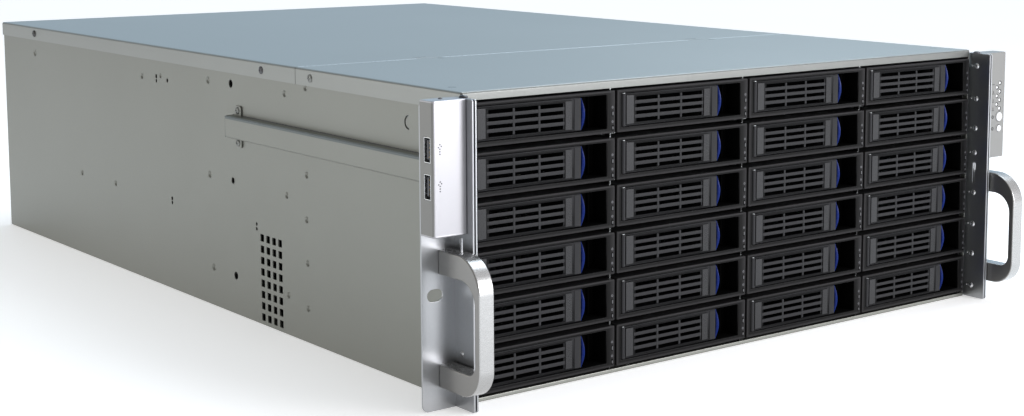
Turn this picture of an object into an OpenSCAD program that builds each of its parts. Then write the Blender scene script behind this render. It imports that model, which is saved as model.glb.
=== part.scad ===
// Rack-mount storage enclosure, four rack units high, with 24 hot-swap drive trays.
// Millimetres. X runs across the width, Y from the drive bays to the rear, Z up.
// The origin is at the middle of the footprint, on the surface the enclosure rests on.

/* [Enclosure] */
// Width over the side walls
body_w = 428.2; // [426:0.2:430]
// Depth from the front edge of the top cover to the rear wall
body_d = 687; // [640:1:720]
// Height over the top covers
body_h = 175.1; // [175:0.1:177.5]
// Thickness of the body and cover sheet
sheet = 1; // [0.8:0.1:1.2]
// Depth of the fixed front cover
front_cover_d = 182; // [170:1:200]

/* [Drive bays] */
// Spacing of the tray columns
col_pitch = 106.8; // [106.6:0.1:106.9]
// Spacing of the tray rows
row_pitch = 27.94; // [27.8:0.02:28]
// Height of the lowest bay above the floor
bay_z = 2.65; // [2.4:0.05:2.8]
// Width of a tray bezel
bezel_w = 105.2; // [104.8:0.1:105.3]
// Length of a tray behind its bezel
tray_d = 164; // [150:1:166]

/* [Rack ears] */
// Width over both ear flanges
rack_w = 482.6; // [482:0.1:483]
// Height of the ears
ear_h = 172.7; // [170:0.1:174]
// How far the side plates stand forward of the covers
ear_reach = 16.3; // [15:0.1:18]
// How far the pull handles stand forward of the covers
handle_reach = 37; // [34:0.5:42]

/* [Hidden] */
$fn = 48;
columns = 4;
rows = 6;
bay_names = [for (c = [1:columns], r = [1:rows]) str("r", r, "c", c)];

gap = 0.1;                        // between sheets that are screwed or slid together
side_x = body_w / 2;              // outer face of a side wall
wall_x = side_x - sheet;          // inner face of a side wall
flange_x = rack_w / 2;            // outer edge of an ear
deck_z = body_h - sheet;          // underside of the covers
rear_reach = body_d + 3;          // rear face of the rearmost screw head
mid_y = (rear_reach - handle_reach) / 2;
lip_z = body_h - 10.9;            // lower edge of the cover's side lips
screw_head = 1.9;

// Drive cage, behind the bezels
cage_y = [4, 186];
cage_top = 171;
divider_t = 0.8;
rail_w = 5;
rail_t = 0.6;
board_y = cage_y[1] + 2;

// Tray, measured from the middle of its bay across and from the foot of its bay up
bezel_y = [-1.5, 16];
bezel_z = [1.5, 26.4];
pocket_x = [-49.2, 46.5];         // opening that holds the lever and the finger recess
pocket_z = [4.3, 24.3];
pocket_y = 13.5;
grille_x = [-38.2, 15.4];         // three columns of air slots
tray_x = 51.8;
tray_wall = 0.9;
tray_h = 15;
tray_z = 0.8;

// Lever, which turns on an upright pin at its left end
pin_x = -46.9;
pin_y = 0;
pin_r = 1.2;
pin_fit = 0.08;
lever_x = [-48.3, 27.6];
lever_z = [4.6, 24.0];
lever_y = [-1.5, 1.5];
slot_h = 2.1;
slot_z = [7.8, 12.1, 16.3, 20.5];
latch_x = [27.75, 30.5];
latch_y = [-2, 5];
latch_z = [5, 23.6];

// Ears
plate_in = [216.3, 217.4];        // inner sheet of the side plate
plate_out = [218.3, 219.4];       // outer sheet of the side plate
flange_y = [1.2, 2.4];
rack_slot_z = 64.6;
rack_slot_pitch = 465.1;
rack_slot = [10.3, 7];            // length and height of a slot
ear_corner = 4;
cable_slot_z = [81, 96];

// Modules on the ears
module_y = -10.9;
module_z = [98.9, 172.8];
module_wall = 1.2;
module_x = [plate_out[1] + gap, flange_x];
usb_z = [126.2, 146.3];
button_x = 234.6;
power_z = 127.5;
reset_z = 119.3;
power_r = 3.2;
reset_r = 2.3;
button_fit = 0.3;

// Rear wall
psu = [[122, 206], [10, 158]];
io_shield = [[-42, 116.75], [12, 56.45]];
slot_pitch = 20.32;
slot_x0 = -57;
slots = 7;
slot_cut = [[0, 12.7], [14, 112]];
rear_fan_x = [-7, 77];
rear_fan_z = 105;
rear_fan = 80;
mid_fan = 120;
mid_fan_x = [-134, 0, 134];
mid_fan_z = 88;
mid_fan_y = 272;
fan_t = 25;
fan_wall_y = mid_fan_y + fan_t + gap;

// Bosses for a standard 305 x 244 mm computer board
board_x = [103.5, 103.5 - 124.46, 103.5 - 281.94];
board_hole_y = [675, 675 - 154.94, 675 - 227.33];
boss_r = 3.2;
boss_h = 6.5;
boss_bore_r = 1.6;

// Side wall
vent_y0 = 208.4;
vent_z0 = 5.2;
vent_pitch = [8, 7.6];
vent_hole = 4.8;
duct_y = [14, 273.8];
duct_z = [121.6, 136.5];
duct_t = 6.5;

module span(x, y, z) {
    translate([x[0], y[0], z[0]]) cube([x[1] - x[0], y[1] - y[0], z[1] - z[0]]);
}

// Puts the enclosure's own origin at the middle of its footprint
module place() {
    translate([0, -mid_y, 0]) children();
}

module both_sides() {
    children();
    mirror([1, 0, 0]) children();
}

// A pan head lying against a wall, with its axis along the given direction
module head_x(x, y, z, r = 3, h = screw_head) {
    translate([x, y, z]) rotate([0, 90, 0]) cylinder(h = h, r1 = r, r2 = r * 0.72);
}

module head_y(x, y, z, r = 3, h = screw_head) {
    translate([x, y, z]) rotate([-90, 0, 0]) cylinder(h = h, r1 = r, r2 = r * 0.72);
}

module round_slot(length, height, depth) {
    run = (length - height) / 2;
    span([-run, run], [0, depth], [-height / 2, height / 2]);
    for (s = [-1, 1]) translate([s * run, 0, 0]) rotate([-90, 0, 0]) cylinder(d = height, h = depth);
}

// Bent sheet tub: floor, side walls and rear wall in one piece
module chassis_body() {
    cut = 1;
    color("darkgray") difference() {
        union() {
            span([-side_x, side_x], [0, body_d], [0, sheet]);
            span([-side_x, side_x], [0, sheet], [0, bay_z - 0.35]);
            span([-side_x, side_x], [body_d - sheet, body_d], [0, deck_z - gap]);
            both_sides() span([wall_x, side_x], [0, body_d], [0, deck_z - gap]);
            for (x = board_x, y = board_hole_y) translate([x, y, sheet / 2])
                cylinder(r = boss_r, h = boss_h);
        }
        for (x = board_x, y = board_hole_y) translate([x, y, -1]) cylinder(r = boss_bore_r, h = boss_h + 4);
        both_sides() for (i = [0:3], j = [0:7]) {
            y = vent_y0 + i * vent_pitch[0];
            z = vent_z0 + j * vent_pitch[1];
            span([wall_x - cut, side_x + cut],
                 [y - vent_hole / 2, y + vent_hole / 2],
                 [z - vent_hole / 2, z + vent_hole / 2]);
        }
        rear = [body_d - sheet - cut, body_d + cut];
        span(psu[0], rear, psu[1]);
        span(io_shield[0], rear, io_shield[1]);
        for (i = [0:slots - 1]) {
            x = slot_x0 - i * slot_pitch;
            span([x - slot_cut[0][1], x], rear, slot_cut[1]);
        }
        for (x = rear_fan_x) translate([x, rear[0], rear_fan_z]) rotate([-90, 0, 0])
            cylinder(d = rear_fan - 4, h = sheet + 2 * cut);
    }
}

// Fixed cover over the drive bays, with a folded front lip and side lips
module front_cover() {
    y = [0, front_cover_d];
    color("lightsteelblue") {
        span([-side_x - gap, side_x + gap], y, [deck_z, body_h]);
        span([-wall_x + gap, wall_x - gap], [0, sheet], [body_h - 4.9, body_h]);
        both_sides() span([side_x + gap, side_x + gap + sheet], y, [lip_z, body_h]);
    }
    color("silver") both_sides()
        head_x(side_x + gap + sheet, 164, 169.2);
}

// Cover over the electronics, which slides back and lifts off
module rear_cover() {
    y = [front_cover_d + 0.5, body_d + gap];
    color("lightsteelblue") {
        span([-side_x - gap, side_x + gap], [y[0], y[1] + sheet], [deck_z, body_h]);
        span([-side_x - gap, side_x + gap], [y[1], y[1] + sheet], [lip_z, body_h]);
        both_sides() span([side_x + gap, side_x + gap + sheet], [y[0], y[1] + sheet], [lip_z, body_h]);
    }
    color("silver") {
        both_sides() head_x(side_x + gap + sheet, 615, 169.4);
        for (x = [-150, 0, 150]) head_y(x, y[1] + sheet, 169.4);
    }
}

// Dividers, guide rails and top plate that carry the trays, with the six backplane boards
module drive_cage() {
    color("gainsboro") {
        for (i = [1:columns - 1]) {
            x = (i - columns / 2) * col_pitch;
            span([x - divider_t / 2, x + divider_t / 2], cage_y, [sheet + gap, cage_top - gap]);
        }
        both_sides() span([wall_x - gap - divider_t, wall_x - gap],
                          [bezel_y[1] + 0.5, cage_y[1]], [sheet + gap, cage_top - gap]);
        span([-wall_x + gap, wall_x - gap], cage_y, [cage_top, cage_top + divider_t]);
        for (c = [0:columns - 1], r = [0:rows - 1]) {
            z = bay_z + r * row_pitch;
            for (x = rail_edges(c)) span(x, [cage_y[0] + 2, cage_y[1] - 2], [z, z + rail_t]);
        }
    }
    color("darkgreen") for (r = [0:rows - 1]) {
        z = bay_z + r * row_pitch;
        span([-206, 206], [board_y, board_y + 1.6], [z + 2, z + 24]);
    }
    color("black") for (c = [0:columns - 1], r = [0:rows - 1]) {
        z = bay_z + r * row_pitch;
        x = (c - (columns - 1) / 2) * col_pitch;
        span([x - 22, x + 22], [board_y - 5, board_y - gap], [z + 4, z + 9.5]);
    }
}

// The two rail strips of a bay, each close to its divider
function rail_edges(c) =
    let (
        left = c == 0 ? -wall_x + gap + divider_t : (c - columns / 2) * col_pitch + divider_t / 2,
        right = c == columns - 1 ? wall_x - gap - divider_t
                                 : (c + 1 - columns / 2) * col_pitch - divider_t / 2
    )
    [[left + 0.05, left + rail_w], [right - rail_w, right - 0.05]];

// Square axial fan: frame, motor mount on four arms, and a rotor that clears them
module fan(size, blades = 7) {
    hub = size * 0.16;
    bore = size / 2 - 2.5;
    color("dimgray") {
        difference() {
            span([-size / 2, size / 2], [0, fan_t], [-size / 2, size / 2]);
            translate([0, -1, 0]) rotate([-90, 0, 0]) cylinder(r = bore, h = fan_t + 2);
        }
        translate([0, fan_t - 3, 0]) {
            rotate([-90, 0, 0]) cylinder(r = hub, h = 3);
            for (a = [45:90:315]) rotate([0, a, 0]) span([hub - 2, bore - 0.4], [0.5, 2.5], [-1.5, 1.5]);
        }
    }
    color("black") translate([0, 2, 0]) {
        rotate([-90, 0, 0]) cylinder(r = hub, h = fan_t - 5.5);
        for (i = [0:blades - 1]) rotate([0, 20 + i * 360 / blades, 0])
            span([hub - 2, bore - 1.5], [2, 15], [-0.6, 0.6]);
    }
}

// Fan wall with three large fans, and the two small fans on the rear wall
module cooling_fans() {
    wall = [fan_wall_y, fan_wall_y + sheet];
    x = wall_x - gap;
    color("gainsboro") difference() {
        union() {
            span([-x, x], wall, [sheet + gap, 165]);
            both_sides() span([x - sheet, x], [mid_fan_y, wall[1]], [sheet + gap, 165]);
        }
        for (fx = mid_fan_x) translate([fx, wall[0] - 1, mid_fan_z]) rotate([-90, 0, 0])
            cylinder(d = mid_fan - 5, h = sheet + 2);
    }
    for (fx = mid_fan_x) translate([fx, mid_fan_y, mid_fan_z]) fan(mid_fan);
    for (fx = rear_fan_x) translate([fx, body_d - sheet - gap - fan_t, rear_fan_z]) fan(rear_fan);
}

// Raised sheet channel on a side wall, over the cable to the ear module
module cable_duct() {
    x = side_x + gap;
    difference() {
        span([x, x + duct_t], duct_y, duct_z);
        span([x - 1, x + duct_t - sheet], [duct_y[0] - 1, duct_y[1] - sheet],
             [duct_z[0] + sheet, duct_z[1] - sheet]);
    }
    for (z = [duct_z[0] - 6.5, duct_z[1]])
        span([x, x + sheet], [duct_y[1] - 17.5, duct_y[1] - 8.5], [z, z + 6.5]);
}

// Sheet channels on the sides, and the plates that close the rear openings
module cover_plates() {
    color("darkgray") both_sides() cable_duct();
    color("silver") {
        both_sides() for (z = [118.2, 139.9])
            head_x(side_x + gap + sheet, 260.8, z, r = 2.4, h = 1.2);
        y = [body_d - sheet - gap - 1, body_d - sheet - gap];
        for (i = [0:slots - 1]) {
            x = slot_x0 - i * slot_pitch;
            span([x - 15.8, x + 3], y, [slot_cut[1][0] - 2, slot_cut[1][1] + 8]);
        }
        span([psu[0][0] - 4, psu[0][1] + 4], y, [psu[1][0] - 4, psu[1][1] + 4]);
    }
}

// Folded ears: rack flange, double side plate and the foot that bolts to the side wall
module rack_ear() {
    difference() {
        union() {
            span([plate_out[0], flange_x], flange_y, [0, ear_h]);
            span(plate_out, [-ear_reach, flange_y[1]], [0, ear_h]);
            span(plate_in, [-ear_reach, flange_y[1]], [0, ear_h]);
            span([plate_in[1] - gap, plate_out[0] + gap], [-ear_reach + 3, flange_y[1]], [0, ear_h]);
            span([side_x + gap, plate_out[1]], [flange_y[1] - gap, 13], [0, lip_z - 1.5]);
        }
        both_corner_cuts();
        translate([rack_slot_pitch / 2, flange_y[0] - 1, rack_slot_z])
            round_slot(rack_slot[0], rack_slot[1], 4);
        span([plate_in[0] - 1, plate_out[1] + 1], [-6.4, -4], cable_slot_z);
    }
    for (z = [8.5, 31.4, 52.4, 74.8, 103, 120.2, 141, 163.8])
        translate([plate_in[0], -5.2, z]) rotate([0, -90, 0]) cylinder(h = 0.9, r1 = 2, r2 = 1.2);
}

// Rounds the two outer corners of an ear flange
module both_corner_cuts() {
    for (s = [0, 1]) translate([flange_x, flange_y[0] - 1, s * ear_h]) mirror([0, 0, s])
        difference() {
            translate([-ear_corner, 0, -1]) cube([ear_corner + 1, 4, ear_corner + 1]);
            translate([-ear_corner, -1, ear_corner]) rotate([-90, 0, 0]) cylinder(r = ear_corner, h = 6);
        }
}

module rack_ears() {
    color("silver") both_sides() rack_ear();
}

// Side outline of a pull handle, from its foot on the flange forward
module handle_outline(reach, z, r_top, r_bottom) {
    difference() {
        translate([0, z[0]]) square([reach, z[1] - z[0]]);
        corner_cut([reach, z[1]], r_top, 1);
        corner_cut([reach, z[0]], r_bottom, -1);
    }
}

// What rounding takes off an outer corner: side is 1 for an upper corner, -1 for a lower one
module corner_cut(corner, r, side) {
    translate([corner[0] - r, corner[1] - side * r]) difference() {
        translate([0, side > 0 ? 0 : -r - 1]) square([r + 1, r + 1]);
        circle(r);
    }
}

module pull_handles() {
    reach = handle_reach + flange_y[0] - gap;
    color("silver") both_sides()
        translate([230.4, flange_y[0] - gap, 0]) rotate([90, 0, -90])
            linear_extrude(10.2) difference() {
                handle_outline(reach, [12.7, 89.8], 20, 16);
                translate([-1, 0]) handle_outline(reach - 4.2, [25.8, 76.1], 13, 7);
            }
}

// Sheet housing on an ear, open at the back against the flange
module module_housing() {
    y = [module_y, flange_y[0] - gap];
    w = module_wall;
    difference() {
        span(module_x, y, module_z);
        span([module_x[0] + w, module_x[1] - w], [y[0] + w, y[1] + 1], [module_z[0] + w, module_z[1] - w]);
        children();
    }
}

// Left module: two upright type A sockets that face outward
module usb_module() {
    socket = [13.2, 5.8];         // height and depth of a socket shell
    y = [-8, -8 + socket[1]];
    color("silver") mirror([1, 0, 0]) {
        module_housing()
            for (z = usb_z) span([module_x[1] - 2, module_x[1] + 1], y,
                                 [z - socket[0] / 2, z + socket[0] / 2]);
        for (z = usb_z) difference() {
            span([module_x[1] - 12, module_x[1] - 0.1],
                 [y[0] + gap, y[1] - gap], [z - socket[0] / 2 + gap, z + socket[0] / 2 - gap]);
            span([module_x[1] - 10, module_x[1] + 1],
                 [y[0] + 0.5, y[1] - 0.5], [z - socket[0] / 2 + 0.5, z + socket[0] / 2 - 0.5]);
        }
    }
    color("black") mirror([1, 0, 0]) for (z = usb_z)
        span([module_x[1] - 9.9, module_x[1] - 1], [y[0] + 1, y[0] + 2.9], [z - 5.6, z + 5.6]);
}

// Right module: seven light windows and the two buttons
module control_module() {
    light_r = 1.25;
    color("silver") module_housing() {
        for (b = [[power_z, power_r], [reset_z, reset_r]]) bore_y(button_x, b[0], b[1] + button_fit);
        for (i = [0:6]) bore_y(light_x(i), light_z(i), light_r);
    }
    color("white") for (i = [0:6]) translate([light_x(i), module_y + 0.3, light_z(i)])
        rotate([-90, 0, 0]) cylinder(r = light_r - 0.1, h = 5);
}

function light_x(i) = 235.1 - (i % 2) * 3.1;
function light_z(i) = 151.2 - i * 3;

module bore_y(x, z, r) {
    translate([x, module_y - 1, z]) rotate([-90, 0, 0]) cylinder(r = r, h = 4);
}

// Push button: cap through the housing's front, with a wider foot behind it
module push_button(x, z, r) {
    proud = 0.7;
    foot = proud + module_wall + gap;
    color("white") translate([x, module_y - proud, z]) rotate([-90, 0, 0]) {
        cylinder(r = r, h = foot + 2);
        translate([0, 0, foot]) cylinder(r = r + 0.9, h = 1.5);
    }
}

module power_button() push_button(button_x, power_z, power_r);
module reset_button() push_button(button_x, reset_z, reset_r);

// Moves a tray or lever drawn in its own bay's frame to column c and row r, counted from 1
module in_bay(c, r) {
    translate([(c - (columns + 1) / 2) * col_pitch, 0, bay_z + (rows - r) * row_pitch]) children();
}

// Moulded bezel on a shallow sheet carrier that holds one 3.5 inch drive
module drive_tray() {
    color([0.16, 0.16, 0.17]) difference() {
        span([-bezel_w / 2, bezel_w / 2], bezel_y, bezel_z);
        span(pocket_x, [bezel_y[0] - 1, pocket_y], pocket_z);
        span(grille_x, [0, bezel_y[1] + 1], [slot_z[0] - slot_h, slot_z[3] + slot_h]);
        translate([pin_x, pin_y, bezel_z[0] + 1.2])
            cylinder(r = pin_r + pin_fit, h = bezel_z[1] - bezel_z[0] - 2.4);
    }
    rear = bezel_y[1] + tray_d;
    color("silver") difference() {
        span([-tray_x, tray_x], [bezel_y[1], rear], [tray_z, tray_h]);
        span([-tray_x + tray_wall, tray_x - tray_wall], [bezel_y[1] - 1, rear + 1], [tray_z + rail_t, tray_h + 1]);
        span([-tray_x + 8, tray_x - 8], [bezel_y[1] + 14, rear - 40], [0, tray_h]);
    }
}

// Lever with the air slots, its hinge pins and the release latch at its free end
module tray_lever() {
    third = (grille_x[1] - grille_x[0]) / 3;
    rib = 1.6;
    color([0.2, 0.2, 0.21]) {
        difference() {
            span(lever_x, lever_y, lever_z);
            for (i = [0:2], z = slot_z)
                span([grille_x[0] + i * third + rib / 2, grille_x[0] + (i + 1) * third - rib / 2],
                     [lever_y[0] - 1, lever_y[1] + 1], [z - slot_h / 2, z + slot_h / 2]);
        }
        translate([pin_x, pin_y, bezel_z[0] + 1.5])
            cylinder(r = pin_r, h = bezel_z[1] - bezel_z[0] - 3);
    }
    color("royalblue") span(latch_x, latch_y, latch_z);
}

place() chassis_body();
place() front_cover();
place() rear_cover();
place() drive_cage();
place() cooling_fans();
place() cover_plates();
place() rack_ears();
place() pull_handles();
place() usb_module();
place() control_module();
place() power_button();
place() reset_button();
for (c = [1:columns], r = [1:rows]) {
    place() in_bay(c, r) drive_tray();
    place() in_bay(c, r) tray_lever();
}
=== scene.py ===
import math

import bmesh
import bpy
from mathutils import Matrix, Vector


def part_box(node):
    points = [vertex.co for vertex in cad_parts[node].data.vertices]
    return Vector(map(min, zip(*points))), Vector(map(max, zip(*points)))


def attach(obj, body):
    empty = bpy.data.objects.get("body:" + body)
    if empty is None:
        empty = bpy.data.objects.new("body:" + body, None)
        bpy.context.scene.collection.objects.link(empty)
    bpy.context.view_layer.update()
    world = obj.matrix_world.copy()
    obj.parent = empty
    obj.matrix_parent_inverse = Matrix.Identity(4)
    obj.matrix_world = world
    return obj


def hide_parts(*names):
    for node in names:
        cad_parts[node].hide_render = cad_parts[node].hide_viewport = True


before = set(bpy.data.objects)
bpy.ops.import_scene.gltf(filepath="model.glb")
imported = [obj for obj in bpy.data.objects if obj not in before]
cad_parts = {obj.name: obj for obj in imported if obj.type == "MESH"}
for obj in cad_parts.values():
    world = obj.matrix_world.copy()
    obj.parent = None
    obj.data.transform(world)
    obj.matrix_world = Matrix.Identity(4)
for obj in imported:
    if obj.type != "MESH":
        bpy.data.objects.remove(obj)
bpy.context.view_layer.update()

# Shapes are written in millimetres from the enclosure's front: x across, y back from the front edge of
# the top cover, z up. What belongs to a drive bay is measured from the bay's own corner instead.
MM = 0.001
FRONT_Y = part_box("front_cover")[0].y
TO_ROW = Matrix.Translation((0, FRONT_Y, 0)) @ Matrix.Scale(MM, 4)


def span_of(node):
    """The lowest and highest corner of a CAD node, in millimetres from the enclosure's front."""
    back = TO_ROW.inverted()
    lo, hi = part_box(node)
    return back @ lo, back @ hi


BODY_HI = span_of("chassis_body")[1]
COVER_LO, COVER_HI = span_of("front_cover")
REAR_LO = span_of("rear_cover")[0]
EAR_LO, EAR_HI = span_of("rack_ears")
HANDLE_LO, HANDLE_HI = span_of("pull_handles")
USB_LO, USB_HI = span_of("usb_module")
PANEL_LO, PANEL_HI = span_of("control_module")
POWER_LO, POWER_HI = span_of("power_button")
RESET_LO, RESET_HI = span_of("reset_button")

SIDE_X = BODY_HI.x                  # outer face of a side wall
SHEET = 1.0
COVER_BEND = 1.5
WALL_X = SIDE_X - SHEET
TOP_Z = COVER_HI.z
ROWS, COLUMNS = 6, 4
BAYS = [(r, c) for c in range(1, COLUMNS + 1) for r in range(1, ROWS + 1)]
COL_PITCH = 106.8
ROW_PITCH = 27.94
CARRIER_FOOT = 0.8                  # the tray's lowest point above the foot of its bay
BEZEL_FRONT = -1.5
BAY_Z = span_of("drive_tray_r6c1")[0].z - CARRIER_FOOT


# ---------------------------------------------------------------- materials

def node_tree(name):
    material = bpy.data.materials.new(name)
    material.use_nodes = True
    tree = material.node_tree
    return material, tree, tree.nodes["Principled BSDF"]


def add_node(tree, kind, inputs=(), **settings):
    made = tree.nodes.new(kind)
    for key, value in settings.items():
        setattr(made, key, value)
    for key, value in dict(inputs).items():
        if hasattr(value, "is_output"):
            tree.links.new(value, made.inputs[key])
        else:
            made.inputs[key].default_value = value
    return made


def noise(tree, scale, detail=3.0, stretch=(1, 1, 1)):
    """Noise over the object's own coordinates, so that it stays on the piece as it moves."""
    where = add_node(tree, "ShaderNodeTexCoord")
    mapping = add_node(tree, "ShaderNodeMapping", {"Vector": where.outputs["Object"], "Scale": stretch})
    return add_node(tree, "ShaderNodeTexNoise", {
        "Vector": mapping.outputs["Vector"], "Scale": scale, "Detail": detail, "Roughness": 0.55,
    }).outputs["Fac"]


def spread(tree, value, low, high, start=0.3, end=0.7):
    """Maps a texture's middle range to a range of its own."""
    return add_node(tree, "ShaderNodeMapRange", {
        "Value": value, "From Min": start, "From Max": end, "To Min": low, "To Max": high,
    }).outputs["Result"]


def mix(tree, factor, first, second):
    made = add_node(tree, "ShaderNodeMix", {"Factor": factor}, data_type="RGBA")
    for key, value in (("A", first), ("B", second)):
        socket = next(s for s in made.inputs if s.name == key and s.type == "RGBA")
        if hasattr(value, "is_output"):
            tree.links.new(value, socket)
        else:
            socket.default_value = (*value, 1)
    return next(s for s in made.outputs if s.type == "RGBA")


def painted_edge_highlight(tree, width):
    """A painted highlight on sharp outer edges: the pointiness of the mesh, narrowed."""
    sharp = add_node(tree, "ShaderNodeNewGeometry").outputs["Pointiness"]
    return spread(tree, sharp, 0.0, 1.0, 0.5 + width, 0.5 + 2.2 * width)


def bump(tree, shader, height, strength, distance):
    made = add_node(tree, "ShaderNodeBump", {
        "Height": height, "Strength": strength, "Distance": distance,
    })
    tree.links.new(made.outputs["Normal"], shader.inputs["Normal"])


def sheet_metal(name, dark, light, metallic, rough, cloud=14.0, grain=900.0, relief=0.12, vary=0.06):
    """Coated or plated sheet: soft clouds of tone, a fine grain, and a roughness that varies with them."""
    material, tree, shader = node_tree(name)
    clouds = noise(tree, cloud, 4.0)
    fine = noise(tree, grain, 2.0)
    tone = add_node(tree, "ShaderNodeMath", {
        0: spread(tree, clouds, 0.0, 0.7), 1: spread(tree, fine, 0.0, 0.3),
    }, operation="ADD").outputs[0]
    tree.links.new(mix(tree, tone, dark, light), shader.inputs["Base Color"])
    tree.links.new(spread(tree, fine, rough - vary, rough + vary), shader.inputs["Roughness"])
    shader.inputs["Metallic"].default_value = metallic
    bump(tree, shader, fine, relief, 0.00008)
    return material


def galvanised(name, dark, light, metallic, rough, spangle):
    """Zinc-coated steel: crystals of slightly different tone and gloss under a fine grain."""
    material, tree, shader = node_tree(name)
    where = add_node(tree, "ShaderNodeTexCoord")
    cells = add_node(tree, "ShaderNodeTexVoronoi", {"Vector": where.outputs["Object"], "Scale": spangle})
    tone_of_cell = add_node(tree, "ShaderNodeSeparateColor", {"Color": cells.outputs["Color"]})
    clouds = noise(tree, 6.0, 3.0)
    fine = noise(tree, 1100.0, 2.0)
    crystals = spread(tree, tone_of_cell.outputs["Red"], 0.0, 0.35, 0.0, 1.0)
    tone = add_node(tree, "ShaderNodeMath", {0: crystals, 1: spread(tree, clouds, 0.0, 0.65)},
                    operation="ADD")
    tree.links.new(mix(tree, tone.outputs[0], dark, light), shader.inputs["Base Color"])
    gloss = spread(tree, tone_of_cell.outputs["Green"], rough - 0.04, rough + 0.04, 0.0, 1.0)
    tree.links.new(gloss, shader.inputs["Roughness"])
    shader.inputs["Metallic"].default_value = metallic
    bump(tree, shader, fine, 0.10, 0.00006)
    return material


def moulded(name, dark, light, rough, texture=1400.0, relief=0.25, edge_highlight_colour=(0.09, 0.09, 0.10), coat=0.0,
            shine=0.5):
    """Moulded plastic: a fine spark-eroded texture, faint flow clouds and a painted edge highlight."""
    material, tree, shader = node_tree(name)
    grain = noise(tree, texture, 2.0)
    clouds = noise(tree, 35.0, 3.0)
    colour = mix(tree, spread(tree, clouds, 0.0, 1.0), dark, light)
    # sharp edges take a paler colour: a painted highlight
    colour = mix(tree, painted_edge_highlight(tree, 0.03), colour, edge_highlight_colour)
    tree.links.new(colour, shader.inputs["Base Color"])
    tree.links.new(spread(tree, grain, rough - 0.06, rough + 0.08), shader.inputs["Roughness"])
    shader.inputs["Coat Weight"].default_value = coat
    shader.inputs["Specular IOR Level"].default_value = shine
    bump(tree, shader, grain, relief, 0.00005)
    return material


def brushed(name, dark, light, metallic, rough):
    """Aluminium with fine lines along one axis and a clear edge highlight."""
    material, tree, shader = node_tree(name)
    lines = noise(tree, 260.0, 3.0, (1, 1, 40))
    clouds = noise(tree, 20.0, 3.0)
    colour = mix(tree, spread(tree, lines, 0.0, 1.0), dark, light)
    colour = mix(tree, spread(tree, clouds, 0.0, 0.35), colour, light)
    tree.links.new(colour, shader.inputs["Base Color"])
    tree.links.new(spread(tree, lines, rough - 0.02, rough + 0.02), shader.inputs["Roughness"])
    shader.inputs["Metallic"].default_value = metallic
    bump(tree, shader, lines, 0.03, 0.00003)
    return material


def glowing(name, colour, strength):
    """A small window with light behind it, paled a little towards white in fine clouds."""
    material, tree, shader = node_tree(name)
    clouds = noise(tree, 300.0, 2.0)
    tree.links.new(mix(tree, spread(tree, clouds, 0.0, 0.3), colour, (1, 1, 1)),
                   shader.inputs["Base Color"])
    shader.inputs["Roughness"].default_value = 0.15
    shader.inputs["Emission Color"].default_value = (*colour, 1)
    shader.inputs["Emission Strength"].default_value = strength
    return material


STEEL = sheet_metal("body_steel", (0.232, 0.236, 0.214), (0.258, 0.262, 0.240), 0.75, 0.40, 5.0, 1200.0,
                    relief=0.07)
# The covers are the same steel as the walls; this copy is painted lighter and less warm, painted light for
# the top's brighter, bluer look.
COVER = sheet_metal("cover_steel", (0.275, 0.283, 0.270), (0.300, 0.308, 0.295), 0.80, 0.34, 4.0, 1200.0,
                    relief=0.07)
# A darker copy of the cover steel for the faces of its front fold: painted shade where the front light would
# make it bright.
LIP_PAINTED_SHADE = sheet_metal("cover_lip_painted_shade", (0.150, 0.155, 0.148), (0.170, 0.175, 0.168), 0.80, 0.42, 4.0, 1200.0,
                  relief=0.05)
# A bright strip on the top along the front cover's seam edge: a painted highlight.
SEAM_HIGHLIGHT = sheet_metal("seam_painted_highlight", (0.60, 0.64, 0.66), (0.75, 0.79, 0.82), 0.7, 0.3, 40.0)
# A darker copy of the wall steel, painted shade for the duct's upper fold and end and for the dimples in the
# top.
STEEL_PAINTED_SHADE = sheet_metal("steel_painted_shade", (0.115, 0.130, 0.132), (0.135, 0.150, 0.152), 0.7, 0.4, 40.0)
CAGE = galvanised("cage_steel", (0.36, 0.38, 0.38), (0.50, 0.52, 0.52), 0.85, 0.38, 90.0)
EAR = sheet_metal("ear_silver", (0.355, 0.362, 0.375), (0.395, 0.402, 0.415), 0.92, 0.30, 9.0, 500.0,
                  relief=0.01, vary=0.015)
HANDLE = brushed("handle_silver", (0.39, 0.388, 0.385), (0.42, 0.418, 0.415), 0.9, 0.27)
# A darker copy of the handle aluminium for the handles' side faces: painted shade.
HANDLE_SIDE_SHADED = brushed("handle_side_painted_shade", (0.245, 0.240, 0.232), (0.270, 0.265, 0.257), 0.85, 0.33)
MODULE = sheet_metal("module_silver", (0.36, 0.355, 0.372), (0.40, 0.395, 0.412), 0.8, 0.33, 12.0, 1600.0,
                     relief=0.02, vary=0.03)
# A darker copy of the module finish for the USB module's left side: painted shade.
MODULE_SIDE_SHADED = sheet_metal("module_side_painted_shade", (0.205, 0.203, 0.195), (0.230, 0.228, 0.220), 0.8, 0.36, 12.0,
                          1600.0, relief=0.02, vary=0.03)
MODULE_GREY = sheet_metal("module_grey", (0.215, 0.213, 0.206), (0.245, 0.243, 0.236), 0.8, 0.38, 12.0,
                          1600.0, relief=0.02, vary=0.03)
SCREW = sheet_metal("screw_zinc", (0.50, 0.51, 0.51), (0.72, 0.73, 0.74), 0.95, 0.25, 200.0)
SCREW_DULL = sheet_metal("screw_dull", (0.20, 0.205, 0.195), (0.28, 0.285, 0.275), 0.85, 0.42, 200.0)
SCREW_DARK = sheet_metal("screw_dark", (0.06, 0.06, 0.06), (0.12, 0.12, 0.12), 0.8, 0.35, 200.0)
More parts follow.
